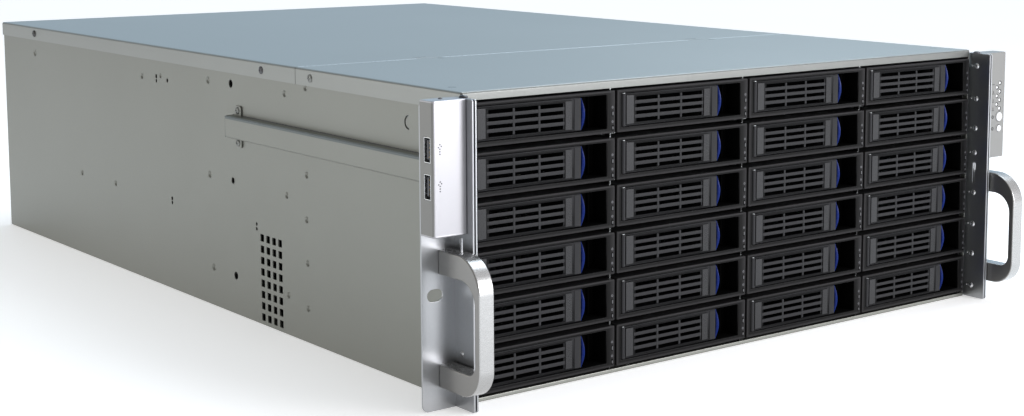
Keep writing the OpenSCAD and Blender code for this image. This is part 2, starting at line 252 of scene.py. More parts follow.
# Black for real black screws and rivets, and also painted shade: the slits of the catches and the joins
# round the ducts.
BLACK_SCREWS_AND_SHADE = moulded("black_screws_and_painted_shade", (0.006, 0.006, 0.008), (0.014, 0.014, 0.018), 0.25)
BEZEL = moulded("tray_bezel", (0.0028, 0.0026, 0.0026), (0.0042, 0.0040, 0.0040), 0.38,
                edge_highlight_colour=(0.024, 0.023, 0.024), shine=0.08)
LEVER = moulded("lever_plastic", (0.0026, 0.0026, 0.0030), (0.0040, 0.0040, 0.0045), 0.33, relief=0.15,
                edge_highlight_colour=(0.030, 0.030, 0.032), shine=0.065)
# The lever's black plastic with more shine, and painted lighter as well: a painted sheen on its ridges.
LEVER_SATIN_AND_SHEEN = moulded("lever_satin_painted_sheen", (0.007, 0.0069, 0.0070), (0.010, 0.0098, 0.0100), 0.30, relief=0.15,
                      edge_highlight_colour=(0.034, 0.034, 0.036), shine=0.18)
# A black deeper than any part here, put where there is only shade: painted shade in holes, gaps, sockets and
# the tray's pocket.
PAINTED_SHADE_BLACK = moulded("painted_shade_black", (0.0004, 0.0004, 0.0005), (0.0007, 0.0007, 0.0009), 0.8,
                 edge_highlight_colour=(0.001, 0.001, 0.001), shine=0.04)
BLUE = moulded("latch_blue", (0.0008, 0.0075, 0.075), (0.0012, 0.012, 0.115), 0.25, 600.0, 0.04,
               (0.002, 0.02, 0.16), 0.0, 0.12)
# The cage's tabs, painted nearly black for the shade in the gaps between trays.
SHADED_CAGE_TAB = sheet_metal("cage_tab_painted_shade", (0.02, 0.02, 0.02), (0.04, 0.04, 0.04), 0.6, 0.5, 90.0)
FAN = moulded("fan_plastic", (0.010, 0.010, 0.011), (0.022, 0.022, 0.024), 0.38)
BUTTON = moulded("button_white", (0.62, 0.62, 0.63), (0.74, 0.74, 0.75), 0.25, 900.0, 0.05, (0.8, 0.8, 0.8),
                 0.4)
BOARD = moulded("board_green", (0.006, 0.045, 0.018), (0.012, 0.075, 0.030), 0.3, 900.0, 0.1,
                (0.05, 0.12, 0.05), 0.4)
CONNECTOR = moulded("connector_black", (0.010, 0.010, 0.010), (0.020, 0.020, 0.020), 0.45)
GOLD = sheet_metal("contact_gold", (0.60, 0.38, 0.10), (0.80, 0.55, 0.20), 1.0, 0.25, 400.0)
# Printed marks, and also painted shade: the dark rings in the bores round the lights and buttons.
INK_AND_SHADE = moulded("ink_and_painted_shade", (0.012, 0.012, 0.015), (0.025, 0.025, 0.030), 0.5, edge_highlight_colour=(0.03, 0.03, 0.03))
INK_LIGHT = moulded("mark_grey", (0.05, 0.05, 0.05), (0.09, 0.09, 0.09), 0.5)
LIGHT_PIPE = moulded("light_pipe", (0.25, 0.26, 0.27), (0.34, 0.35, 0.36), 0.12, 500.0, 0.03,
                     (0.4, 0.4, 0.4), 0.5)
LAMP = moulded("lamp_clear", (0.05, 0.05, 0.055), (0.09, 0.09, 0.10), 0.3, 300.0, 0.02, (0.10, 0.10, 0.10),
               0.1, 0.3)
SIGNAL = glowing("signal_window", (0.80, 0.80, 0.82), 0.30)
FLOOR = sheet_metal("floor_paper", (0.84, 0.84, 0.84), (0.87, 0.87, 0.87), 0.0, 0.75, 2.0, 300.0,
                    relief=0.05)


# ---------------------------------------------------------------- shapes

def block(lo, hi, edge=0.3, steps=2):
    """A box with every edge rounded."""
    made = bmesh.new()
    bmesh.ops.create_cube(made, size=1)
    size = [b - a for a, b in zip(lo, hi)]
    for vert in made.verts:
        vert.co = Vector([a + (c + 0.5) * s for a, c, s in zip(lo, vert.co, size)])
    edge = min(edge, min(size) * 0.45)
    bmesh.ops.bevel(made, geom=made.edges[:], offset=edge, segments=steps, profile=0.5, affect="EDGES")
    return made


def lathe(profile, steps=20, closed=False):
    """Turns (radius, height) points about Z. A closed profile makes a ring."""
    made = bmesh.new()
    turns = [math.tau * i / steps for i in range(steps)]
    rings = []
    for radius, height in profile:
        if radius < 1e-6:
            rings.append([made.verts.new((0, 0, height))])
        else:
            rings.append([made.verts.new((radius * math.cos(a), radius * math.sin(a), height))
                          for a in turns])
    pairs = list(zip(rings, rings[1:])) + ([(rings[-1], rings[0])] if closed else [])
    for low, high in pairs:
        for i in range(steps):
            j = (i + 1) % steps
            corners = [low[i % len(low)], low[j % len(low)], high[j % len(high)], high[i % len(high)]]
            corners = list(dict.fromkeys(corners))
            if len(corners) > 2:
                made.faces.new(corners)
    bmesh.ops.recalc_face_normals(made, faces=made.faces[:])
    return made


def arc(centre, radius, start, end, steps=6):
    """Points along an arc, with its angles in degrees."""
    turns = [math.radians(start + (end - start) * i / steps) for i in range(steps + 1)]
    return [(centre[0] + radius * math.cos(a), centre[1] + radius * math.sin(a)) for a in turns]


def rectangle(u, v, radius=0.0, steps=4):
    """A rectangle's outline, anticlockwise, with one radius or one for each corner from the lower left."""
    radii = list(radius) if hasattr(radius, "__iter__") else [radius] * 4
    corners = [(u[0], v[0], 1, 1), (u[1], v[0], -1, 1), (u[1], v[1], -1, -1), (u[0], v[1], 1, -1)]
    points = []
    for i, ((x, y, sx, sy), r) in enumerate(zip(corners, radii)):
        if r:
            points += arc((x + sx * r, y + sy * r), r, 180 + 90 * i, 270 + 90 * i, steps)
        else:
            points.append((x, y))
    return points


def disc(u, v, radius, steps=16):
    return arc((u, v), radius, 0, 360 * (steps - 1) / steps, steps - 1)


def slot_outline(u, v, length, height, steps=8):
    run = (length - height) / 2
    return arc((u + run, v), height / 2, -90, 90, steps) + arc((u - run, v), height / 2, 90, 270, steps)


AXES = {
    "x": Matrix(((0, 0, 1, 0), (1, 0, 0, 0), (0, 1, 0, 0), (0, 0, 0, 1))),
    "y": Matrix(((1, 0, 0, 0), (0, 0, 1, 0), (0, 1, 0, 0), (0, 0, 0, 1))),
    "z": Matrix.Identity(4),
}


def slab(axis, start, depth, outline, holes=(), edge=0.2, steps=1):
    """A plate across an axis, with holes and rounded edges. Outlines hold the other two axes."""
    curve = bpy.data.curves.new("outline", "CURVE")
    curve.dimensions, curve.fill_mode = "2D", "BOTH"
    edge = min(edge, depth * 0.45)
    curve.extrude, curve.bevel_depth = depth / 2 - edge, edge
    curve.bevel_resolution, curve.offset = steps, -edge
    for points in [outline, *holes]:
        spline = curve.splines.new("POLY")
        spline.points.add(len(points) - 1)
        for point, (u, v) in zip(spline.points, points):
            point.co = (u, v, 0, 1)
        spline.use_cyclic_u = True
    holder = bpy.data.objects.new("outline", curve)
    mesh = bpy.data.meshes.new_from_object(holder)
    made = bmesh.new()
    made.from_mesh(mesh)
    bpy.data.objects.remove(holder)
    bpy.data.curves.remove(curve)
    bpy.data.meshes.remove(mesh)
    bmesh.ops.remove_doubles(made, verts=made.verts[:], dist=1e-4)
    made.transform(Matrix.Translation([start if a == axis else 0 for a in "xyz"])
                   @ AXES[axis] @ Matrix.Translation((0, 0, depth / 2)))
    bmesh.ops.recalc_face_normals(made, faces=made.faces[:])
    return made


def folded_cover(x, y, top, side_fold, front_fold, rear_fold):
    """A sheet cover whose edges bend down: open below, with a true sheet thickness."""
    made = bmesh.new()

    def corner(cx, cy, drop):
        return made.verts.new((cx, cy, top - drop))

    tops = {(cx, cy): corner(cx, cy, 0) for cx in x for cy in y}
    folds = {y[0]: front_fold, y[1]: rear_fold}
    deep = {key: corner(*key, side_fold) for key in tops}
    shallow = {key: corner(*key, folds[key[1]]) for key in tops if 0 < folds[key[1]] < side_fold}
    made.faces.new([tops[x[0], y[0]], tops[x[1], y[0]], tops[x[1], y[1]], tops[x[0], y[1]]])
    for cx in x:
        ring = [tops[cx, y[0]], tops[cx, y[1]], shallow.get((cx, y[1])), deep[cx, y[1]],
                deep[cx, y[0]], shallow.get((cx, y[0]))]
        made.faces.new([vert for vert in ring if vert])
    for cy in y:
        if folds[cy]:
            low = {cx: shallow.get((cx, cy), deep[cx, cy]) for cx in x}
            made.faces.new([tops[x[0], cy], tops[x[1], cy], low[x[1]], low[x[0]]])
    bmesh.ops.recalc_face_normals(made, faces=made.faces[:])
    upward = max(made.faces, key=lambda face: face.calc_center_median().z)
    if upward.normal.z < 0:
        bmesh.ops.reverse_faces(made, faces=made.faces[:])
    bends = [edge for edge in made.edges if len(edge.link_faces) == 2]
    bmesh.ops.bevel(made, geom=bends, offset=COVER_BEND, segments=4, profile=0.5, affect="EDGES")
    bmesh.ops.solidify(made, geom=made.faces[:], thickness=SHEET)
    highest = max(vert.co.z for vert in made.verts)
    if highest > top + 0.01:
        raise ValueError("the cover's sheet grew outward")
    return made


def pierced(part, *tools):
    """Cuts closed tools out of a closed part."""
    scene = bpy.context.scene.collection
    held = []
    for source in (part, *tools):
        mesh = bpy.data.meshes.new("cut")
        source.to_mesh(mesh)
        source.free()
        held.append(bpy.data.objects.new("cut", mesh))
        scene.objects.link(held[-1])
    for tool in held[1:]:
        cut = held[0].modifiers.new("cut", "BOOLEAN")
        cut.operation, cut.solver, cut.object = "DIFFERENCE", "EXACT", tool
    bpy.context.view_layer.update()
    result = bpy.data.meshes.new_from_object(held[0].evaluated_get(bpy.context.evaluated_depsgraph_get()))
    made = bmesh.new()
    made.from_mesh(result)
    bpy.data.meshes.remove(result)
    for holder in held:
        mesh = holder.data
        bpy.data.objects.remove(holder)
        bpy.data.meshes.remove(mesh)
    return made


def pointing(axis, where):
    """Turns a part made along +Z to point along an axis, with its foot at a point."""
    turns = {
        "-y": Matrix.Rotation(math.radians(90), 4, "X"), "+y": Matrix.Rotation(math.radians(-90), 4, "X"),
        "+x": Matrix.Rotation(math.radians(90), 4, "Y"), "-x": Matrix.Rotation(math.radians(-90), 4, "Y"),
        "+z": Matrix.Identity(4), "-z": Matrix.Rotation(math.radians(180), 4, "X"),
    }
    return Matrix.Translation(where) @ turns[axis]


MIRROR_X = Matrix.Scale(-1, 4, (1, 0, 0))


class Piece:
    """Collects closed parts, in millimetres, into one mesh with a material slot for each finish."""

    def __init__(self, name):
        self.name, self.shape, self.materials = name, bmesh.new(), []

    def add(self, part, material, place=None, mirrored=False, facing=None):
        """Adds a part, and its mirror image across the enclosure too if it is wanted."""
        if place is not None:
            part.transform(place)
        if material not in self.materials:
            self.materials.append(material)
        images = [None, MIRROR_X] if mirrored else [None]
        for image in images:
            mesh = bpy.data.meshes.new("part")
            if image is not None:
                part.transform(image)
            bmesh.ops.recalc_face_normals(part, faces=part.faces[:])
            for face in part.faces:
                chosen = facing(face.normal) if facing else material
                if chosen not in self.materials:
                    self.materials.append(chosen)
                face.material_index = self.materials.index(chosen)
                face.smooth = True
            part.to_mesh(mesh)
            self.shape.from_mesh(mesh)
            bpy.data.meshes.remove(mesh)
        part.free()

    def mesh(self, scale):
        data = bpy.data.meshes.new(self.name)
        self.shape.transform(scale)
        self.shape.to_mesh(data)
        self.shape.free()
        for material in self.materials:
            data.materials.append(material)
        data.set_sharp_from_angle(angle=math.radians(42))
        return data


def put(data, name, body, nodes, location=(0, 0, 0)):
    """Places a mesh as a piece of the model that rides on a body and stands for CAD nodes."""
    placed = bpy.data.objects.new(name, data)
    placed.location = location
    bpy.context.scene.collection.objects.link(placed)
    weighted = placed.modifiers.new("normals", "WEIGHTED_NORMAL")
    weighted.keep_sharp = True
    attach(placed, body)
    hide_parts(*nodes)


def place(piece, slot, node, body="enclosure"):
    """Puts a piece made in the enclosure's own millimetres in place of one CAD node."""
    put(piece.mesh(TO_ROW), piece.name, body, [node])


def add_on_sides(piece, part, material, x, y, z):
    """Adds a part that points outward from a side wall, on both sides."""
    piece.add(part, material, pointing("+x", (x, y, z)), mirrored=True)


# ---------------------------------------------------------------- small hardware

def pan_head(radius=3.0, height=1.9):
    """A screw's domed head with a cross recess, its foot at z = 0."""
    top = [(radius * math.cos(a), height * (0.35 + 0.65 * math.sin(a)))
           for a in [math.radians(t) for t in (0, 25, 50, 75)]]
    head = lathe([(0, 0), (radius, 0), *top, (0, height)], 20)
    arm, depth = radius * 0.62, height * 0.55
    cross = [block((-arm, -0.32, height - depth), (arm, 0.32, height + 1), 0.02, 1),
             block((-0.32, -arm, height - depth), (0.32, arm, height + 1), 0.02, 1)]
    return pierced(head, *cross)


def rivet(radius=2.0, height=0.9):
    turns = [math.radians(t) for t in (0, 22, 45, 68)]
    dome = [(radius * math.cos(a), height * math.sin(a)) for a in turns]
    return lathe([(0, -0.05), (radius, -0.05), *dome, (0, height)], 18)


def dimple(radius):
    """A plug that fills a round hole in a wall with a pressed dish."""
    depth = 0.9
    return lathe([(0, -depth + 0.25), (radius * 0.35, -depth + 0.1), (radius * 0.6, -depth),
                  (radius * 0.85, -0.3), (radius + 0.04, 0.0), (radius + 0.04, -0.98), (0, -0.98)], 20)


def ring(inner, outer, height):
    return lathe([(inner, 0), (outer, 0), (outer, height * 0.6), (outer - 0.3, height),
                  (inner + 0.2, height)], 24, closed=True)


# ---------------------------------------------------------------- steel tub

VENT = {"y": 208.4, "z": 5.2, "pitch_y": 8.0, "pitch_z": 7.6, "hole": 4.8, "columns": 4, "rows": 8}
# marks on a side wall, each as its place back and up and its radius
RINGED_HOLE = (271.5, 91.5)
OPEN_HOLES = [(271.8, 156.9, 2.7), (*RINGED_HOLE, 2.4), (270.4, 26.6, 2.7), (239.6, 66.6, 1.2),
              (239.6, 63.4, 1.2), (366.3, 66.4, 1.4), (366.3, 63.4, 1.3), (387, 152.6, 1.5),
              (387, 149.4, 1.3), (369, 151, 1.5)]
DIMPLES = [(618, 153.7, 3.2), (411, 151, 2.4), (380, 153.5, 1.8), (305, 156.6, 2.6), (305.6, 91.5, 2.6),
           (303, 27, 2.6), (527.6, 64.8, 2.2), (463.9, 64.7, 2.2), (171.8, 162.7, 2.2), (198.7, 156.6, 2.2),
           (172.1, 107.7, 2.2), (198.1, 91.3, 2.2), (173, 79.1, 2.2), (172.8, 51.2, 2.2),
           (198.4, 26.2, 2.2), (173.2, 22.0, 2.2)]
KNOCKOUT = (54.6, 152.9, 4.2)
SIDE_RIVETS = [(24.0, 112.0), (24.0, 84.0), (24.0, 52.0)]
UNDERSIDE_DOMES = (-178, -89, 0, 89, 178)
PSU_X, PSU_Z = (122, 206), (10, 158)
SHIELD_X, SHIELD_Z = (-42, 116.75), (12, 56.45)
SLOT_XS = [-57 - 20.32 * i for i in range(7)]
SLOT_W, SLOT_Z = 12.7, (14, 112)
REAR_FANS = [-7, 77]
REAR_FAN_Z, REAR_FAN = 105, 80
MID_FANS = [-134, 0, 134]
MID_FAN_Z, MID_FAN_Y, MID_FAN = 88, 272, 120
FAN_T = 25
REAR_FAN_SCREWS = 35.75             # from a rear fan's middle to its screws, each way
FAN_SCREWS = 0.4469                 # the same for a fan's own holes, as a share of its size
BOARD_XS = [103.5, 103.5 - 124.46, 103.5 - 281.94]
BOARD_YS = [675, 675 - 154.94, 675 - 227.33]


def make_tub():
    tub = Piece("steel_tub")
    deep, high = BODY_HI.y, BODY_HI.z
    holes = []
    for i in range(VENT["columns"]):
        for j in range(VENT["rows"]):
            y, z = VENT["y"] + i * VENT["pitch_y"], VENT["z"] + j * VENT["pitch_z"]
            half = VENT["hole"] / 2
            holes.append(rectangle((y - half, y + half), (z - half, z + half), 0.5, 2))
    holes += [disc(y, z, r) for y, z, r in OPEN_HOLES + DIMPLES]
    y, z, r = KNOCKOUT
    holes.append(arc((y, z), r, -100, 100, 14) + arc((y - 0.5, z), r - 0.9, 90, -90, 12))
    tub.add(slab("x", WALL_X, SHEET, rectangle((0, deep), (0.1, high)), holes, 0.12), STEEL, mirrored=True)
    for y, z, r in DIMPLES:
        add_on_sides(tub, dimple(r), STEEL, SIDE_X, y, z)
    # behind each open hole a black disc: painted shade of the dark inside
    for y, z, r in OPEN_HOLES:
        add_on_sides(tub, lathe([(0, -0.75), (r + 0.3, -0.75), (r + 0.3, -0.95), (0, -0.95)], 16), PAINTED_SHADE_BLACK,
                     SIDE_X, y, z)
    add_on_sides(tub, ring(2.1, 3.1, 0.2), STEEL, SIDE_X - 0.05, *RINGED_HOLE)
    for y, z in SIDE_RIVETS:
        add_on_sides(tub, rivet(1.7, 0.7), SCREW, SIDE_X, y, z)

    half = WALL_X + 0.05
    boss_holes = [disc(x, y, 1.6, 16) for x in BOARD_XS for y in BOARD_YS]
    tub.add(slab("z", 0, SHEET, rectangle((-half, half), (0.2, deep - 0.2)), boss_holes, 0.1), STEEL)
    for x in BOARD_XS:
        for y in BOARD_YS:
            tub.add(lathe([(1.6, 0.6), (3.2, 0.6), (3.2, 6.6), (2.9, 7.0), (1.9, 7.0), (1.6, 6.7)], 18,
                          True), SCREW, Matrix.Translation((x, y, 0)))
    tub.add(block((-SIDE_X + 0.1, 0, 0), (SIDE_X - 0.1, SHEET, BAY_Z - 0.35), 0.35), STEEL)

    rear = [rectangle(PSU_X, PSU_Z, 1.5), rectangle(SHIELD_X, SHIELD_Z, 1.0)]
    rear += [rectangle((x - SLOT_W, x), SLOT_Z, 1.0) for x in SLOT_XS]
    for x in REAR_FANS:
        rear.append(disc(x, REAR_FAN_Z, REAR_FAN / 2 - 2, 40))
        rear += [disc(u, v, 2.1, 12) for u, v in four_corners(x, REAR_FAN_Z, REAR_FAN_SCREWS)]
    tub.add(slab("y", deep - SHEET, SHEET, rectangle((-half, half), (0.9, high - 0.2)), rear, 0.12), STEEL)
    for x in REAR_FANS:
        add_finger_guard(tub, x, REAR_FAN_Z, deep + 0.2, REAR_FAN)
    for x in UNDERSIDE_DOMES:
        dome = lathe([(0, 0.4), (6.5, 0.4), (5.2, 0.02), (0, 0.02)], 24)
        tub.add(dome, STEEL, Matrix.Translation((x, deep - 60, 0)))
    place(tub, "body_steel", "chassis_body")


def four_corners(x, z, reach):
    """The places of a fan's four screws."""
    return [(x + sx * reach, z + sz * reach) for sx in (-1, 1) for sz in (-1, 1)]


def add_finger_guard(piece, x, z, y, size):
    """Wire rings on four spokes over a rear fan, held by its four screws."""
    wire = 0.75
    section = [(math.cos(a) * wire, math.sin(a) * wire) for a in [math.tau * i / 6 for i in range(6)]]
    for radius in [size * f for f in (0.11, 0.2, 0.29, 0.38, 0.465)]:
        piece.add(lathe([(radius + u, v) for u, v in section], 40, True), SCREW,
                  pointing("+y", (x, y + 0.9, z)))
    for turn in (45, 135):
        spoke = lathe([(0, -size * 0.60), (wire, -size * 0.60), (wire, size * 0.60), (0, size * 0.60)], 8)
        spoke.transform(Matrix.Translation((x, y + 1.7, z)) @ Matrix.Rotation(math.radians(turn), 4, "Y"))
        piece.add(spoke, SCREW)
    for u, v in four_corners(x, z, REAR_FAN_SCREWS):
        piece.add(pan_head(3.2, 1.6), BLACK_SCREWS_AND_SHADE, pointing("+y", (u, y + 0.9, v)))


# ---------------------------------------------------------------- covers

SIDE_SCREW = (164, 169.2)           # the front cover's side screw: back, up
LIP_SCREW_Z = 169.4                 # the rear cover's screws
REAR_SIDE_SCREWS = ((615, 2.8, 1.2, SCREW_DARK), (227, 2.6, 0.8, BLACK_SCREWS_AND_SHADE))
BACK_SCREWS = (-150, 0, 150)
SEAM_GAPS = ((-125, -105), (115, 136))      # where the painted highlight along the seam's edge is broken
COVER_DIMPLES = ((-109, 177), (133, 176), (-204.5, 24.3), (204.5, 24.3))
CATCH_XS, CATCH_Y = (-118.5, 123.5), 189


def make_covers():
    wide = COVER_HI.x - 1.9
    skin = TOP_Z - 0.12                 # what stands on the covers stays under the CAD's top
    fold = skin - COVER_LO.z
    front = Piece("front_cover_sheet")
    shell = folded_cover((-wide, wide), (COVER_LO.y, COVER_HI.y), skin, fold, 4.9, 0)
    # faces turned to the front take the darker copy: painted shade on the front fold
    front.add(shell, COVER, facing=lambda normal: LIP_PAINTED_SHADE if normal.y < -0.4 else COVER)
    add_on_sides(front, pan_head(2.6, 0.9), SCREW_DULL, wide - 0.05, *SIDE_SCREW)
    seam = COVER_HI.y
    (left, middle), (right, far) = SEAM_GAPS
    # a bright strip on the top along the seam's edge, a painted highlight, broken in two places
    for x_lo, x_hi in ((-wide + 1.6, left), (middle, right), (far, wide - 1.6)):
        front.add(block((x_lo, seam - 0.9, skin - 0.6), (x_hi, seam + 0.02, skin + 0.08), 0.25), SEAM_HIGHLIGHT)
    # black strips in the gap at the seam and down both sides: painted shade in the gap
    front.add(block((-wide + 1, seam + 0.03, skin - 0.9), (wide - 1, seam + 0.47, skin - 0.4), 0.1), PAINTED_SHADE_BLACK)
    front.add(block((SIDE_X + 0.12, seam + 0.03, COVER_LO.z + 0.1), (SIDE_X + 0.7, seam + 0.47, skin - 0.5),
                    0.1), PAINTED_SHADE_BLACK, mirrored=True)
    # dimples in the top, in the darker steel: painted shade in their dish
    for x, y in COVER_DIMPLES:
        front.add(lathe([(0, -0.2), (2.6, -0.2), (2.6, -0.02), (1.9, 0.09), (1.2, -0.05), (0, -0.08)], 20),
                  STEEL_PAINTED_SHADE, Matrix.Translation((x, y, skin)))
    place(front, "cover_steel", "front_cover")

    rear = Piece("rear_cover_sheet")
    back = BODY_HI.y + 1.1
    shell = folded_cover((-wide, wide), (REAR_LO.y, back), skin, fold, 0, fold)
    rear.add(shell, COVER)
    for y, radius, height, finish in REAR_SIDE_SCREWS:
        add_on_sides(rear, pan_head(radius, height), finish, wide - 0.05, y, LIP_SCREW_Z)
    for x in BACK_SCREWS:
        rear.add(pan_head(), SCREW, pointing("+y", (x, back - 0.05, LIP_SCREW_Z)))
    # each catch: a raised pad with a black slit on it, painted shade in the slit
    for x in CATCH_XS:
        rear.add(slab("z", skin - 0.3, 0.36, slot_outline(x, CATCH_Y, 16, 4), edge=0.1), COVER)
        rear.add(slab("z", skin - 0.3, 0.40, slot_outline(x, CATCH_Y, 11, 1.4), edge=0.05), BLACK_SCREWS_AND_SHADE)
    place(rear, "cover_steel", "rear_cover", "rear_cover")


# ---------------------------------------------------------------- drive cage

CAGE_Y, CAGE_TOP = (4.0, 186.0), 171
OUTER_WALL_Y = 16.5                 # the outer walls stop behind the bezels
COLUMN_XS = (-160, -53, 53, 160)    # openings over and behind the columns


def make_cage():
    cage = Piece("drive_cage_frame")
    y0, y1 = CAGE_Y
    wall_t, low, high = 0.8, SHEET + 0.1, CAGE_TOP - 0.1
    windows = []
    for r in range(ROWS):
        z = BAY_Z + r * ROW_PITCH
        windows += [rectangle((y - 13, y + 13), (z + 9, z + 21), 3, 3) for y in (60, 100, 140)]
    edges = [i * COL_PITCH - COL_PITCH * COLUMNS / 2 for i in range(1, COLUMNS)]
    for x in edges:
        cage.add(slab("x", x - wall_t / 2, wall_t, rectangle((y0, y1), (low, high), 1), windows, 0.1), CAGE)
    outer = WALL_X - 0.1
    cage.add(slab("x", outer - wall_t, wall_t, rectangle((OUTER_WALL_Y, y1), (low, high), 1), (), 0.1),
             CAGE, mirrored=True)
    top_holes = [rectangle((x - 16, x + 16), (y - 20, y + 20), 4) for x in COLUMN_XS for y in (65, 125)]
    cage.add(slab("z", CAGE_TOP, wall_t, rectangle((-outer, outer), (y0, y1), 1), top_holes, 0.1), CAGE)
    sides = [-outer + wall_t] + [e for x in edges for e in (x - wall_t / 2,
                                                            x + wall_t / 2)] + [outer - wall_t]
    for r in range(ROWS):
        z = BAY_Z + r * ROW_PITCH
        for i, x in enumerate(sides):
            inward = 1 if i % 2 == 0 else -1
            a, b = sorted((x + inward * 0.02, x + inward * 5))
            cage.add(block((a, y0 + 2, z), (b, y1 - 2, z + 0.6), 0.15, 1), CAGE)
        # small tabs in the gaps between trays, painted nearly black: painted shade
        for x in sides[1::2]:
            cage.add(block((x - 2.0, y0 - 2.0, z - 1.1), (x - 1.0, y0 + 2.5, z + 1.1), 0.15, 1), SHADED_CAGE_TAB)
        board_y = y1 + 2
        slots = [rectangle((x - 12, x + 12), (z + 14, z + 20), 2) for x in (-160, -53.4, 53.4, 160)]
        cage.add(slab("y", board_y, 1.6, rectangle((-206, 206), (z + 2, z + 24), 1), slots, 0.1), BOARD)
        for c in range(COLUMNS):
            x = (c - 1.5) * COL_PITCH
            cage.add(block((x - 22, board_y - 5, z + 4), (x + 22, board_y + 0.1, z + 9.5), 0.4), CONNECTOR)
            for a, b in ((-20.5, -3), (-1, 9)):
                cage.add(block((x + a, board_y - 5.3, z + 6.2), (x + b, board_y - 4.9, z + 6.9), 0.1), GOLD)
            for k in range(4):
                chip = x + 26 + k * 5
                cage.add(block((chip, board_y - 1.1, z + 5), (chip + 2.6, board_y + 0.1, z + 7.6), 0.2, 1),
                         CONNECTOR)
    place(cage, "cage_steel", "drive_cage")


# ---------------------------------------------------------------- fans

def blade(hub, tip, chord, pitch):
    """One curved, pitched fan blade standing on its hub, made along the fan's axis Z."""
    made = bmesh.new()
    spans, chords = 6, 6
    grid = []
    for i in range(spans + 1):
        radius = hub + (tip - hub) * i / spans
        row = []
        for j in range(chords + 1):
            t = j / chords - 0.5
            angle = chord * t + 0.22 * (i / spans) ** 2
            lift = pitch * t + 1.6 * math.cos(math.pi * t)
            row.append(made.verts.new((radius * math.cos(angle), radius * math.sin(angle), lift)))
        grid.append(row)
    for low, high in zip(grid, grid[1:]):
        for j in range(chords):
            made.faces.new((low[j], low[j + 1], high[j + 1], high[j]))
    bmesh.ops.recalc_face_normals(made, faces=made.faces[:])
    bmesh.ops.solidify(made, geom=made.faces[:], thickness=1.0)
    return made


def add_fan(piece, x, y, z, size):
    hub, bore = size * 0.16, size / 2 - 2.5
    corners = [disc(u, v, 2.2, 12) for u, v in four_corners(x, z, size * FAN_SCREWS)]
    frame_outline = rectangle((x - size / 2, x + size / 2), (z - size / 2, z + size / 2), size * 0.06)
    for start in (y, y + FAN_T - 4):
        piece.add(slab("y", start, 4, frame_outline, [disc(x, z, bore, 48), *corners], 0.4), FAN)
    barrel = [(bore, 3.5), (bore + 1.8, 3.5), (bore + 1.8, FAN_T - 3.5), (bore, FAN_T - 3.5)]
    piece.add(lathe(barrel, 48, True), FAN, pointing("+y", (x, y, z)))
    mount = [(0, FAN_T - 3), (hub, FAN_T - 3), (hub, FAN_T - 0.4), (hub - 0.4, FAN_T), (0, FAN_T)]
    piece.add(lathe(mount, 32), FAN, pointing("+y", (x, y, z)))
    for turn in (45, 135, 225, 315):
        arm = block((hub - 1, -1.5, FAN_T - 2.6), (bore + 0.8, 1.5, FAN_T - 0.4), 0.4)
        arm.transform(pointing("+y", (x, y, z)) @ Matrix.Rotation(math.radians(turn), 4, "Z"))
        piece.add(arm, FAN)
    cup = [(0, 2), (hub - 1.2, 2), (hub, 3.2), (hub, 20), (0, 20)]
    piece.add(lathe(cup, 32), FAN, pointing("+y", (x, y, z)))
    for i in range(7):
        wing = blade(hub - 0.6, bore - 1.6, 0.72, 11)
        wing.transform(pointing("+y", (x, y + 11.5, z)) @ Matrix.Rotation(math.tau * i / 7, 4, "Z"))
        piece.add(wing, FAN)


def make_fans():
    fans = Piece("fan_wall_and_fans")
    y = MID_FAN_Y + FAN_T + 0.1
    x = WALL_X - 0.1
    holes = [disc(fx, MID_FAN_Z, MID_FAN / 2 - 2.5, 48) for fx in MID_FANS]
    holes += [slot_outline(fx, 20, 30, 8) for fx in (-67, 67)]
    fans.add(slab("y", y, SHEET, rectangle((-x, x), (SHEET + 0.1, 165), 1), holes, 0.12), CAGE)
    fans.add(slab("x", x - SHEET, SHEET, rectangle((MID_FAN_Y, y + SHEET), (SHEET + 0.1, 165), 1), (),
                  0.12), CAGE, mirrored=True)
    for fx in MID_FANS:
        add_fan(fans, fx, MID_FAN_Y, MID_FAN_Z, MID_FAN)
    for fx in REAR_FANS:
        add_fan(fans, fx, BODY_HI.y - SHEET - 0.1 - FAN_T, REAR_FAN_Z, REAR_FAN)
    place(fans, "fan_plastic", "cooling_fans")


# ---------------------------------------------------------------- ducts and rear plates

DUCT_Y, DUCT_Z = (14.0, 268.5), (121.6, 136.5)
TAB_Y, TAB_SCREW_Y, TAB_SCREW_ZS = (256.3, 265.3), 260.8, (118.2, 139.9)


